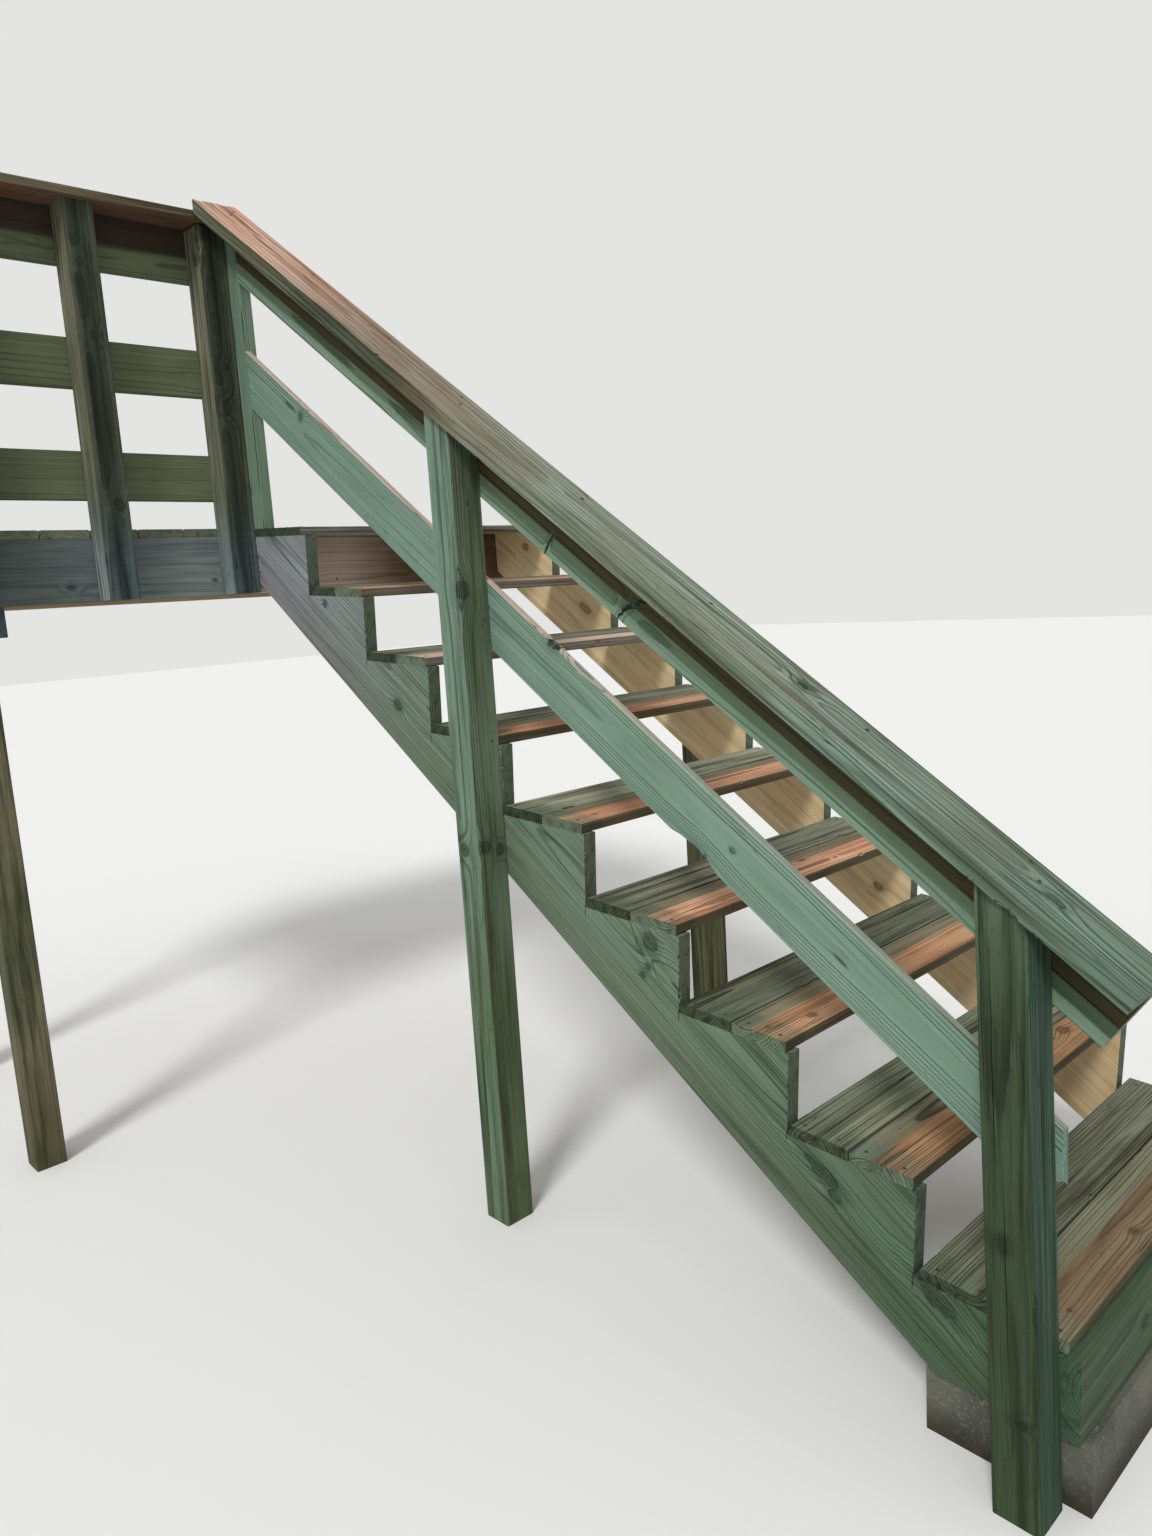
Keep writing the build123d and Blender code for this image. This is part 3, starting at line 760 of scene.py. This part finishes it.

# Middle rail: a clear board on edge, half as thick as the others and nailed behind the posts. Flat-sawn, so
# its face has a plain pale middle with dark rings crowding towards both edges. A painted cream highlight lies
# on its top edge and on the top face towards its head, the edges have waned away in two places, and the lower
# corner of its foot has broken off.
MID_RAIL_THINNED = (1, -0.16, -0.019)
mint_pine = dict(
    stringer_pine, pale=(120, 146, 129), late=(26, 47, 34), patch=(108, 134, 115), stain=(188, 200, 186),
    knot=(62, 80, 62), dark=(24, 34, 26), end=(116, 140, 124), pith=(0.050, 0.004), ring=0.0060,
    late_from=0.56, plain=0.0765, wander=0.03, contrast=1.1, patchy=0.35, streaky=0.3, fibre=0.35,
    cracks=0.4,
)
wear(
    "mid_rail", "rail_wood", DOWN_FLIGHT, mint_pine,
    (
        ((0.646, FACE, 1.561), (0.690, FACE, 1.527), (0, 0, -1), 0.019, 0.030, 21, 0.4),
        ((0.650, FACE, 1.560), (0.850, FACE, 1.418), (-1, 0.4, -1.4), 0.010, 0.034, 22, 0.9, 0.2),
        ((1.000, FACE, 1.144), (1.145, FACE, 1.042), (1, 0.2, 1.4), 0.017, 0.040, 23, 0.7, 0.3),
        ((1.060, FACE, 1.104), (1.120, FACE, 1.066), (1, 0.3, 1.4), 0.020, 0.020, 28, 0.5),
        ((1.790, -0.168, 0.604), (1.905, -0.168, 0.574), (0, 0, 1), 0.040, 0.100, 24, 0.5, 0.8),
        ((1.8645, FACE, 0.640), (1.8645, FACE, 0.700), BACK, 0.004, 0.012, 25),
        ((1.72, FACE, 0.712), (1.90, FACE, 0.590), IN, 0.014, 0.002, 26),
        ((-0.66, FACE, 2.362), (-0.52, FACE, 2.266), IN, 0.014, 0.0018, 27),
    ),
    MID_RAIL_THINNED,
    knots=(
        ((1.181, -0.177, 1.113), 0.006, 1.5), ((1.435, -0.177, 0.929), 0.003, 5.0),
        ((0.668, -0.172, 1.541), 0.012, 1.6), ((1.072, -0.172, 1.096), 0.017, 2.0),
        ((-0.362, -0.177, 2.214), 0.013, 0.8), ((-0.415, -0.177, 2.248), 0.004, 7.0),
    ),
    # Painted highlight: cream on the top edge, and on faces turned upward towards the head.
    zones=(
        ("Z", 0.0662, 0.0675, (150, 160, 146), 1.0),
        ("X", 0.6, 0.1, (160, 160, 144), 1.0, (0.57, 0.0, 0.82)),
    ),
    seed=91,
)

# Upper rail and the cleat it butts on: a 2x6 on edge close below the cap. The cap's shadow is painted on it:
# brown under the cap, a dull green strip of painted half shade below that, and the rail's own green only on
# the lower strip. Two notches are split out of its lower part.
wear(
    "upper_rail", "rail_wood", DOWN_FLIGHT,
    dict(mint_pine, pale=(134, 158, 136), late=(74, 98, 74), pith=(0.05, -0.05), plain=0.0),
    (
        ((0.655, FACE, 1.738), (0.700, FACE, 1.800), IN, 0.017, 0.009, 31, 0.5),
        ((0.880, FACE, 1.592), (0.925, FACE, 1.626), IN, 0.016, 0.008, 32, 0.5),
        ((0.905, FACE, 1.612), (0.985, FACE, 1.640), IN, 0.019, 0.017, 33, 0.5),
        ((1.66, FACE, 1.130), (1.95, FACE, 0.925), IN, 0.012, 0.0018, 34),
    ),
    knots=(
        ((0.671, -0.172, 1.762), 0.007, 0.6), ((0.686, -0.172, 1.782), 0.007, 0.6),
        ((0.892, -0.172, 1.605), 0.007, 0.6), ((0.910, -0.170, 1.618), 0.012, 0.7),
        ((0.938, -0.168, 1.630), 0.014, 0.9),
    ),
    # Painted shadow of the cap: a dull green half shade band, then brown above it.
    zones=(("Z", -0.064, -0.060, (108, 130, 104), 1.0), ("Z", -0.041, -0.036, (88, 80, 56), 1.0)),
    seed=94,
)
dress_boards("rail_cleat", UPRIGHT, dict(mint_pine, pale=(112, 134, 114), pith=(0.05, 0.01)), seed=97.0)

# Cap of the stair rail: a flat 2x6 nailed down on the posts and the upper rail. Its top is the most weathered
# face of the stair, with raised parallel grain, a ring-shaped knot low down and a tan tinge near the head.
DECK_END = -0.798548  # the deck's end face, where the rails' heights above its top are given
RAIL_SLOPE = 0.68695
CAP_ABOVE_DECK = 1.012
CAP_EDGE, CAP_HEAD = -0.2815, -0.6845
CAP_TOP, CAP_SKIN = 0.04611, 0.046  # its upper face above its lower one, measured upright, and just in it
CAP_DOWN = (-sin(FLIGHT_PITCH), 0, -cos(FLIGHT_PITCH))
CAP_UP = (sin(FLIGHT_PITCH), 0, cos(FLIGHT_PITCH))
cap_pine = dict(
    mint_pine, pale=(138, 154, 138), late=(50, 64, 50), patch=(122, 120, 100), stain=(168, 160, 142),
    end=(120, 130, 110), pith=(0.01, -0.05), ring=0.0058, late_from=0.4, plain=0.0, wander=0.03,
    contrast=0.95, patchy=0.6, streaky=0.8, fibre=0.9, cracks=0.9,
)


def rail_height(above_deck, x):
    """Height at x of a rail's lower edge that is above_deck at the deck's end."""
    return DECK_TOP + above_deck - RAIL_SLOPE * (x - DECK_END)


def on_cap(x, y, up):
    """Place on the part, up being the height above the cap's lower face."""
    return x, y, rail_height(CAP_ABOVE_DECK, x) + up


cap_cuts = [
    (on_cap(1.370, -0.198, CAP_SKIN), on_cap(1.394, -0.198, CAP_SKIN), CAP_DOWN, 0.02, 0.018, 41),
    (on_cap(0.195, CAP_EDGE, CAP_SKIN), on_cap(0.215, CAP_EDGE, CAP_SKIN), CAP_DOWN, 0.01, 0.012, 42),
]
dice = random.Random(8)
for x, length, depth in (
    (1.735, 0.035, 0.005), (1.785, 0.05, 0.009), (1.845, 0.03, 0.006),
    (1.10, 0.05, 0.004), (0.55, 0.06, 0.004), (-0.2, 0.05, 0.004),
):
    chip_ends = (on_cap(x, CAP_EDGE, 0.0), on_cap(x + length, CAP_EDGE, 0.0))
    cap_cuts.append((*chip_ends, CAP_UP, depth, depth * 1.8, dice.randrange(999)))
for x, length, y, width in (
    (1.76, 0.20, -0.232, 0.002), (1.70, 0.26, -0.168, 0.0022), (-0.70, 0.26, -0.19, 0.003),
    (-0.70, 0.18, -0.23, 0.0022), (0.35, 0.14, -0.211, 0.002), (0.80, 0.10, -0.200, 0.003),
    (-0.52, 0.07, -0.190, 0.004),
):
    split_ends = (on_cap(x, y, CAP_TOP), on_cap(x + length, y, CAP_TOP))
    cap_cuts.append((*split_ends, CAP_DOWN, dice.uniform(0.008, 0.016), width, dice.randrange(999)))
for y, width, depth in ((-0.275, 0.03, 0.01), (-0.2, 0.035, 0.006), (-0.15, 0.02, 0.008)):
    torn_ends = (on_cap(CAP_HEAD, y, CAP_SKIN), on_cap(CAP_HEAD, y + width, CAP_SKIN))
    cap_cuts.append((*torn_ends, FRONT, depth, 0.02, dice.randrange(999)))
wear(
    "stair_cap", "cap_wood", DOWN_FLIGHT, cap_pine, cap_cuts,
    knots=(((1.382, -0.19, 1.460), 0.013, 1.7), ((1.861, -0.215, 1.131), 0.010, 1.9)),
    # Painted shade on the cap's underside, brown.
    faces=((OUT, (124, 144, 128), 1.0), (CAP_DOWN, (86, 84, 62), 0.9)),
    zones=(
        ("X", 0.3, -0.6, (152, 138, 120), 1.0),
        ("X", -0.6, -1.4, (190, 190, 172), 1.0),
        ("X", 0.7, 1.6, (110, 134, 118), 1.0),
        ("X", 0.0, -0.8, (66, 102, 84), 0.9, OUT),
    ),
    seed=101,
)

# Guard posts on the deck's end face: old 4x4s, their fronts darkened partly by dirt and partly by painted
# shade, almost black down the middle, with rings round their knots and long drying splits. The one nearest
# the stair has lost a corner of its head.
CORNER, HEAD_TOP = -0.7095, 2.829  # of the posts' heads: their front and their end under the cap
guard_post_pine = dict(
    old_post_pine, pale=(122, 121, 100), late=(58, 62, 46), patch=(92, 98, 80), stain=(150, 150, 134),
    knot=(34, 38, 28), dark=(18, 20, 14), pith=(-0.015, 0.02), ring=0.0066, contrast=0.95, cracks=1.0,
)
guard_knots = dict(
    guard_post_a=(
        ((-0.71, -0.228, 2.290), 0.015, 1.5), ((-0.71, -0.217, 2.410), 0.010, 1.2),
        ((-0.731, -0.267, 2.721), 0.012, 1.5),
    ),
    guard_post_b=(
        ((-0.71, -0.600, 1.99), 0.014, 1.3), ((-0.71, -0.609, 2.463), 0.012, 1.3),
        ((-0.71, -0.624, 2.663), 0.009, 1.5),
    ),
    guard_post_c=(((-0.71, -1.01, 2.5), 0.012, 1.3),),
)
guard_cuts = dict(
    guard_post_a=[
        ((CORNER, POST_FACE, 2.69), (CORNER, POST_FACE, 2.88), (-1, 1, 0), 0.014, 0.020, 51, 0.8, 0.3),
        ((-0.67, POST_FACE, HEAD_TOP), (-0.84, POST_FACE, HEAD_TOP), (0, 1, -1), 0.017, 0.024, 52, 0.5, 0.3),
        ((CORNER, -0.30, HEAD_TOP), (CORNER, -0.19, HEAD_TOP), (-1, 0, -1), 0.012, 0.020, 53, 0.5, 0.3),
        ((-0.7525, POST_FACE, 1.82), (-0.7495, POST_FACE, 2.42), IN, 0.016, 0.0024, 54),
    ]
)
for number, (name, knots) in enumerate(guard_knots.items()):
    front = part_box(name)[1][0]
    middle = middle_of(name)[1]
    dice = random.Random(60 + number)
    cuts = guard_cuts.get(name, [])
    for _ in range(3):
        start = dice.uniform(1.75, 2.3)
        y = middle + dice.uniform(-0.03, 0.03)
        length = dice.uniform(0.25, 0.5)
        split_ends = ((front, y, start), (front, y + dice.uniform(-0.004, 0.004), start + length))
        size = (dice.uniform(0.01, 0.02), dice.uniform(0.0015, 0.003), dice.randrange(999))
        cuts.append((*split_ends, BACK, *size))
    wear(
        name, "guard_post_wood", UPRIGHT, guard_post_pine, cuts,
        knots=knots,
        # The front faces' darkening is partly dirt and partly painted shade.
        faces=((FRONT, (84, 88, 72), 1.0),),
        bands=(("Y", 0.0, 0.024, (76, 84, 68), 0.95),),
        zones=(("X", -0.2, -0.5, (134, 148, 152), 0.9),),
        seed=111.0 + 3.1 * number,
    )
dress_boards(
    "side_posts", UPRIGHT, guard_post_pine,
    pile=((0, 0, 1), -0.5895, 0.393),
    faces=((OUT, (104, 108, 92), 0.8),),
    seed=124,
)

# Guard rails: three boards on edge to a bay, nailed inside the posts, green with faint level grain.
# The top one reaches up to the cap and has a dark brown painted shadow of the cap below it.
GUARD_RAIL_LIFT = (2, 2.79, 0.013)
RAILS_ABOVE_DECK = (0.772, 0.431, 0.112)
rail_pine = dict(
    mint_pine, pale=(106, 116, 88), late=(56, 66, 42), patch=(88, 96, 70), end=(96, 104, 80),
    pith=(-0.06, -0.03), ring=0.0066, plain=0.0, contrast=0.8, wander=0.045,
)
wear(
    "end_rails", "guard_rail_wood", ACROSS, rail_pine,
    lift=GUARD_RAIL_LIFT,
    pile=((0, 0, 1), -0.495, 0.33),
    # Painted shadow of the cap: a dark brown band along the top rail.
    zones=(("Z", 0.318, 0.338, (58, 44, 34), 0.95), ("X", 0.1, -0.4, (86, 94, 70), 0.9)),
    seed=131,
)
wear(
    "side_rails", "guard_rail_wood", LENGTHWISE, dict(rail_pine, pith=(0.06, 0.02)),
    lift=GUARD_RAIL_LIFT,
    pile=((0, 0, 1), -0.495, 0.33),
    # Painted shadow of the cap: a brown band along the top rail.
    zones=(("Z", 0.34, 0.36, (66, 54, 42), 0.7),),
    seed=134,
)

# Guard caps: flat boards nailed down over the posts and the top rails, pinkish tan on top, a painted light
# where the sun reaches them, and brown below, a painted shade.
guard_cap_pine = dict(
    cap_pine, pale=(178, 156, 136), late=(112, 90, 72), patch=(150, 134, 116), end=(130, 124, 100),
    pith=(0.01, 0.05),
)
# Painted shade on the caps' undersides, brown.
cap_underside_shade = ((0, 0, -1), (112, 84, 64), 0.95)
for name, turn, edge, seed in (
    ("end_cap", ACROSS, (FRONT, (100, 92, 70), 0.95), 141.0),
    ("side_cap", LENGTHWISE, (OUT, (124, 130, 104), 0.9), 144.0),
):
    dress_boards(name, turn, guard_cap_pine, faces=(cap_underside_shade, edge), seed=seed)

# Deck boards: the same rounded 5/4 boards as the steps, laid along the wall and screwed to the joists. Less
# walked on than the steps, they are a duller tan.
BOARD_PITCH = 0.1435
dress_boards(
    "decking", LENGTHWISE,
    dict(
        front_tread_pine, pale=(166, 146, 122), late=(104, 84, 64), patch=(142, 132, 112), end=(116, 124, 104)
    ),
    pile=((0, 1, 0), -1.14825, BOARD_PITCH),
    seed=151,
)

# Beam and its posts: two boards on edge under the joists, bolted either side of 4x4s that stand on the
# ground. The boards are slate grey like the rim, the posts olive brown.
dress_boards(
    "beam", LENGTHWISE, dict(slate_pine, pale=(84, 94, 106), late=(58, 66, 78), end=(80, 92, 110)),
    pile=((0, 1, 0), -0.127, 0.127),
    seed=161,
)
dress_boards(
    "beam_posts", UPRIGHT,
    dict(old_post_pine, pale=(110, 106, 82), late=(70, 68, 48), contrast=0.7, pith=(0.0, 0.07)),
    knots=(((-0.888, -1.0, 0.62), 0.016, 1.2), ((-0.888, -1.034, 0.123), 0.010, 1.2)),
    zones=(("X", -0.3, -0.8, (92, 84, 60), 0.8),),
    pile=((0, 0, 1), -0.953, 0.953),
    seed=164,
)

# Footing: the concrete pad below the stringers' feet, cast in place and float-finished. It is pitted, and its
# sides are dirty near the ground.
concrete, tree, surface, where = new_material("footing_concrete_cast")
grit = noise(where["Object"], (3.0, 1.0, 2.0), [160.0] * 3, 3.0)
cloud = noise(where["Object"], (1.0, 4.0, 2.0), [6.0] * 3, 4.0)
pores = ease(noise(where["Object"], (5.0, 2.0, 9.0), [70.0] * 3, 2.0), 0.2, 0.3)
colour = blend("MIX", ease(cloud, -0.2, 0.2), srgb(66, 70, 60), srgb(96, 96, 85))
colour = blend("MIX", ease(grit, 0.0, 0.3), colour, srgb(118, 116, 104))
colour = blend("MIX", times(pores, 0.7), colour, srgb(40, 40, 34))
above_ground = add_node(tree, "ShaderNodeSeparateXYZ", {"Vector": where["Object"]})["Z"]
colour = blend("MULTIPLY", ease(above_ground, 0.09, 0.0), colour, srgb(140, 136, 112))
join(colour, surface["Base Color"])
surface["Roughness"].default_value = 0.92
height = maths("SUBTRACT", times(grit, 0.5), pores)
join(bumped(height, 0.0012, 0.7), surface["Normal"])
dress("footing", concrete)

# Screws and nails: tan-coated deck screws through the steps and the deck, nails in the rails, the header and
# the kick board, and bolts through the beam. Their round heads stand a hair above the wood.
steel, tree, surface, where = new_material("weathered_steel")
rust = ease(noise(where["Object"], (7.0, 3.0, 1.0), [300.0] * 3, 3.0), -0.1, 0.2)
join(blend("MIX", rust, srgb(74, 72, 68), srgb(82, 52, 34)), surface["Base Color"])
join(maths("SUBTRACT", 0.7, times(rust, 0.6)), surface["Metallic"])
join(scaled(rust, 0.3, 0.5), surface["Roughness"])

fixings = bpy.data.node_groups.new("fixing_heads", "GeometryNodeTree")
fixings.is_modifier = True
for label, kind in (
    ("Places", "Geometry"), ("Radius", "Float"), ("Height", "Float"), ("Socket", "Float"),
    ("Tilt", "Float"), ("Sides", "Int"), ("Seed", "Int"), ("Steel", "Material"),
):
    fixings.interface.new_socket(label, in_out="INPUT", socket_type="NodeSocket" + kind)
fixings.interface.new_socket("Heads", in_out="OUTPUT", socket_type="NodeSocketGeometry")
given = fixings.nodes.new("NodeGroupInput").outputs
shown = fixings.nodes.new("NodeGroupOutput").inputs
values = {"Vertices": given["Sides"], "Radius Top": times(given["Radius"], 0.82)}
values.update({"Radius Bottom": given["Radius"], "Depth": given["Height"]})
cone = add_node(fixings, "GeometryNodeMeshCone", values, fill_type="NGON")
values = {"Mesh": cone["Mesh"], "Selection": cone["Top"], "Offset Scale": 0.0}
lip = add_node(fixings, "GeometryNodeExtrudeMesh", values, mode="FACES")
values = {"Geometry": lip["Mesh"], "Selection": lip["Top"], "Scale": given["Socket"]}
mouth = add_node(fixings, "GeometryNodeScaleElements", values, domain="FACE")["Geometry"]
values = {"Mesh": mouth, "Selection": lip["Top"], "Offset Scale": times(given["Height"], -0.7)}
head = add_node(fixings, "GeometryNodeExtrudeMesh", values, mode="FACES")["Mesh"]
values = {"Name": "facing"}
facing = add_node(fixings, "GeometryNodeInputNamedAttribute", values, data_type="FLOAT_VECTOR")["Attribute"]
outwards = add_node(fixings, "FunctionNodeAlignRotationToVector", {"Vector": facing}, axis="Z")["Rotation"]
most = combine(given["Tilt"], given["Tilt"], pi)
values = {"Vector": most, "Scale": -1.0}
least = add_node(fixings, "ShaderNodeVectorMath", values, operation="SCALE")["Vector"]
values = {"Min": least, "Max": most, "Seed": given["Seed"]}
jolt = add_node(fixings, "FunctionNodeRandomValue", values, data_type="FLOAT_VECTOR")["Value"]
spin = add_node(fixings, "FunctionNodeEulerToRotation", {"Euler": jolt})["Rotation"]
values = {"Rotation": outwards, "Rotate By": spin}
turned = add_node(fixings, "FunctionNodeRotateRotation", values, rotation_space="LOCAL")["Rotation"]
values = {"Points": given["Places"], "Instance": head, "Rotation": turned}
placed = add_node(fixings, "GeometryNodeInstanceOnPoints", values)["Instances"]
real = add_node(fixings, "GeometryNodeRealizeInstances", {"Geometry": placed})["Geometry"]
values = {"Geometry": real, "Material": given["Steel"]}
join(add_node(fixings, "GeometryNodeSetMaterial", values)["Geometry"], shown["Heads"])


def drive(name, places, **values):
    """Sets a head on each of places: (point on the wood, direction it faces)."""
    points = bpy.data.meshes.new(name)
    points.from_pydata([place for place, _ in places], [], [])
    facing = points.attributes.new("facing", "FLOAT_VECTOR", "POINT")
    for number, (_, direction) in enumerate(places):
        facing.data[number].vector = direction
    heads = new_object(name, points)
    setting = heads.modifiers.new("heads", "NODES")
    setting.node_group = fixings
    values["Steel"] = steel
    for item in fixings.interface.items_tree:
        if item.name in values:
            setting[item.identifier] = values[item.name]
    settle(heads)
    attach(heads, "root")


STRINGER_LINES = (-0.1585, 0.8445)
SCREW_LINES = (-SCREWS_AT[1], SCREWS_AT[1])
HEAD_SCREW_LINES = (-0.155, -0.072, -0.030, 0.052, 0.092, 0.160)
tread_up = Euler(TREAD_TURN).to_matrix() @ Vector((0, 0, 1))
dice = random.Random(12)
screw_places = []
on_tread = [(y, across) for y in STRINGER_LINES for across in SCREW_LINES]
on_head = [(y, across) for across in HEAD_SCREW_LINES for y in STRINGER_LINES]
screwed = [(f"tread_{step}_{place}", on_tread, 0.004) for step in range(1, 9) for place in ("rear", "front")]
for name, spots, astray in (*screwed, ("top_tread", on_head, 0.003)):
    on_part = tread_place(name)
    for y, across in spots:
        spot = Vector((y - on_part.translation.y, across + dice.uniform(-astray, astray), HALF_THICK))
        screw_places.append((on_part @ spot, tread_up))
drive("tread_screws", screw_places, Radius=0.0042, Height=0.0012, Socket=0.5, Sides=12, Tilt=0.06, Seed=1)

JOIST_LINES = (-0.8175, -1.2235, -1.6295, -1.9995)
deck_low, deck_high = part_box("decking")
deck_places = []
for board in range(16):
    for x in JOIST_LINES:
        for across in SCREW_LINES:
            y = deck_low.y + HALF_WIDTH + BOARD_PITCH * board + across + dice.uniform(-0.003, 0.003)
            deck_places.append(((x + dice.uniform(-0.003, 0.003), y, deck_high.z), (0, 0, 1)))
drive("deck_screws", deck_places, Radius=0.0042, Height=0.0012, Socket=0.5, Sides=12, Tilt=0.05, Seed=2)

HEADER_FACE, KICK_FACE, END_RAIL_BACK = -0.7225, 1.8995, -0.836548
MID_RAIL, UPPER_RAIL = (-0.1585, 0.482), (-0.1395, 0.8522)  # back of each, and its height above the deck
SIDE_POST_LINES = (-0.843, -1.236, -1.629)
nail_places = []
for x, spots in (
    (MID_FRONT, ((-0.197, 1.604), (-0.200, 1.302), (-0.223, 1.884))),
    (HEADER_FACE, ((0.113, 1.749), (0.353, 1.775), (0.810, 1.839), (0.801, 1.738))),
    (KICK_FACE, [(y, z) for y in STRINGER_LINES for z in (0.18, 0.25)]),
):
    nail_places += [((x, y, z), FRONT) for y, z in spots]
for x, z in ((-0.705, 1.83), (-0.702, 1.78), (-0.704, 1.735)):
    nail_places.append(((x, FACE, z), OUT))
for back, above_deck in (MID_RAIL, UPPER_RAIL):
    for x in (-0.60, -0.575, 0.385, 0.42, 1.78, 1.81):
        for up in (0.035, 0.11):
            nail_places.append(((x, back, rail_height(above_deck, x) + up), IN))
pair = ((0.04, -0.02), (0.1, 0.02))
in_rails = [(DECK_TOP + low + up, side) for low in RAILS_ABOVE_DECK for up, side in pair]
for post in guard_knots:
    nail_places += [((END_RAIL_BACK, middle_of(post).y + side, z), BACK) for z, side in in_rails]
for x in SIDE_POST_LINES:
    nail_places += [((x + side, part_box("side_rails")[1].y, z), IN) for z, side in in_rails]
drive("rail_nails", nail_places, Radius=0.0036, Height=0.001, Socket=0.6, Sides=10, Tilt=0.1, Seed=3)

CAP_NAILS, GUARD_CAP_TOP = 0.0461, 2.8504
cap_places = []
for x in (-0.64, -0.61, -0.25, 0.1, 0.385, 0.42, 0.8, 1.15, 1.5, 1.8, 1.83):
    y = -0.2 if x in (-0.61, 0.42, 1.83) else -0.17 + dice.uniform(-0.01, 0.01)
    cap_places.append((on_cap(x, y, CAP_NAILS), CAP_UP))
for post in guard_knots:
    x, y, _ = middle_of(post)
    cap_places += [((x - 0.02, y + side, GUARD_CAP_TOP), (0, 0, 1)) for side in (-0.025, 0.025)]
drive("cap_nails", cap_places, Radius=0.0045, Height=0.0012, Socket=0.6, Sides=12, Tilt=0.06, Seed=4)

BEAM_POST_LINES, BEAM_MIDDLE = (-0.9465, -1.8720), 1.67
beam_low, beam_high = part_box("beam")
bolt_places = []
for x in BEAM_POST_LINES:
    for z in (1.65, 1.69):
        for y, outwards in ((beam_low.y, OUT), (beam_high.y, IN)):
            bolt_places.append(((x + (z - BEAM_MIDDLE), y, z), outwards))
drive("beam_bolts", bolt_places, Radius=0.0115, Height=0.007, Socket=0.45, Sides=6, Tilt=0.0, Seed=5)

# Camera at the photographer's place, in front of the stair's foot and below its cap. Its turn is given by the
# directions of the picture's right, its top and the way back to the eye.
camera = new_object("camera", bpy.data.cameras.new("camera"))
to_right = Vector((0.6886, 0.7226, -0.0611))
to_top = Vector((-0.0758, 0.1556, 0.9849))
to_back = Vector((0.7212, -0.6736, 0.1619))
camera_turn = Matrix((to_right, to_top, to_back)).transposed().to_4x4()
camera.matrix_world = Matrix.Translation((2.57305, -1.9047, 1.6656)) @ camera_turn
camera.data.sensor_width = 36.0
camera.data.lens = 25.545
camera.data.clip_start = 0.05
camera.data.clip_end = 60.0
bpy.context.scene.camera = camera
bpy.context.scene.view_settings.view_transform = "Standard"

# Pale floor, and soft light from high on the outer side with an even sky all round. The camera sees a pale
# backdrop in the sky's place.
floor_mesh = bpy.data.meshes.new("floor")
floor_mesh.from_pydata([(-30, -30, 0), (30, -30, 0), (30, 30, 0), (-30, 30, 0)], [], [(0, 1, 2, 3)])
floor = new_object("floor", floor_mesh)
floor_paint = bpy.data.materials.new("floor_paint")
floor_paint.use_nodes = True
surface = floor_paint.node_tree.nodes["Principled BSDF"].inputs
surface["Base Color"].default_value = srgb(236, 236, 234)
surface["Roughness"].default_value = 0.9
floor_mesh.materials.append(floor_paint)
floor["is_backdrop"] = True

sun = new_object("key", bpy.data.lights.new("key", "SUN"))
sun.data.energy = 1.9
sun.data.angle = radians(14)
sun.rotation_euler = Vector((0.35, -0.72, 0.8)).to_track_quat("Z", "Y").to_euler()

sky = bpy.data.worlds.new("sky")
sky.use_nodes = True
tree = sky.node_tree
air = tree.nodes["Background"]
air.inputs["Color"].default_value = (1.0, 1.0, 1.0, 1.0)
air.inputs["Strength"].default_value = 0.62
backdrop = add_node(tree, "ShaderNodeBackground", {"Color": srgb(228, 228, 226)})
seen = tree.nodes.new("ShaderNodeLightPath").outputs
straight = maths("MAXIMUM", seen["Is Camera Ray"], seen["Is Glossy Ray"])
straight = maths("MAXIMUM", straight, seen["Is Transmission Ray"])
both = tree.nodes.new("ShaderNodeMixShader")
for value, socket in zip((straight, air.outputs[0], backdrop[0]), both.inputs):
    join(value, socket)
join(both.outputs[0], tree.nodes["World Output"].inputs["Surface"])
bpy.context.scene.world = sky

size = {"cad": cad_box, "visual": [list(corner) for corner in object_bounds()]}
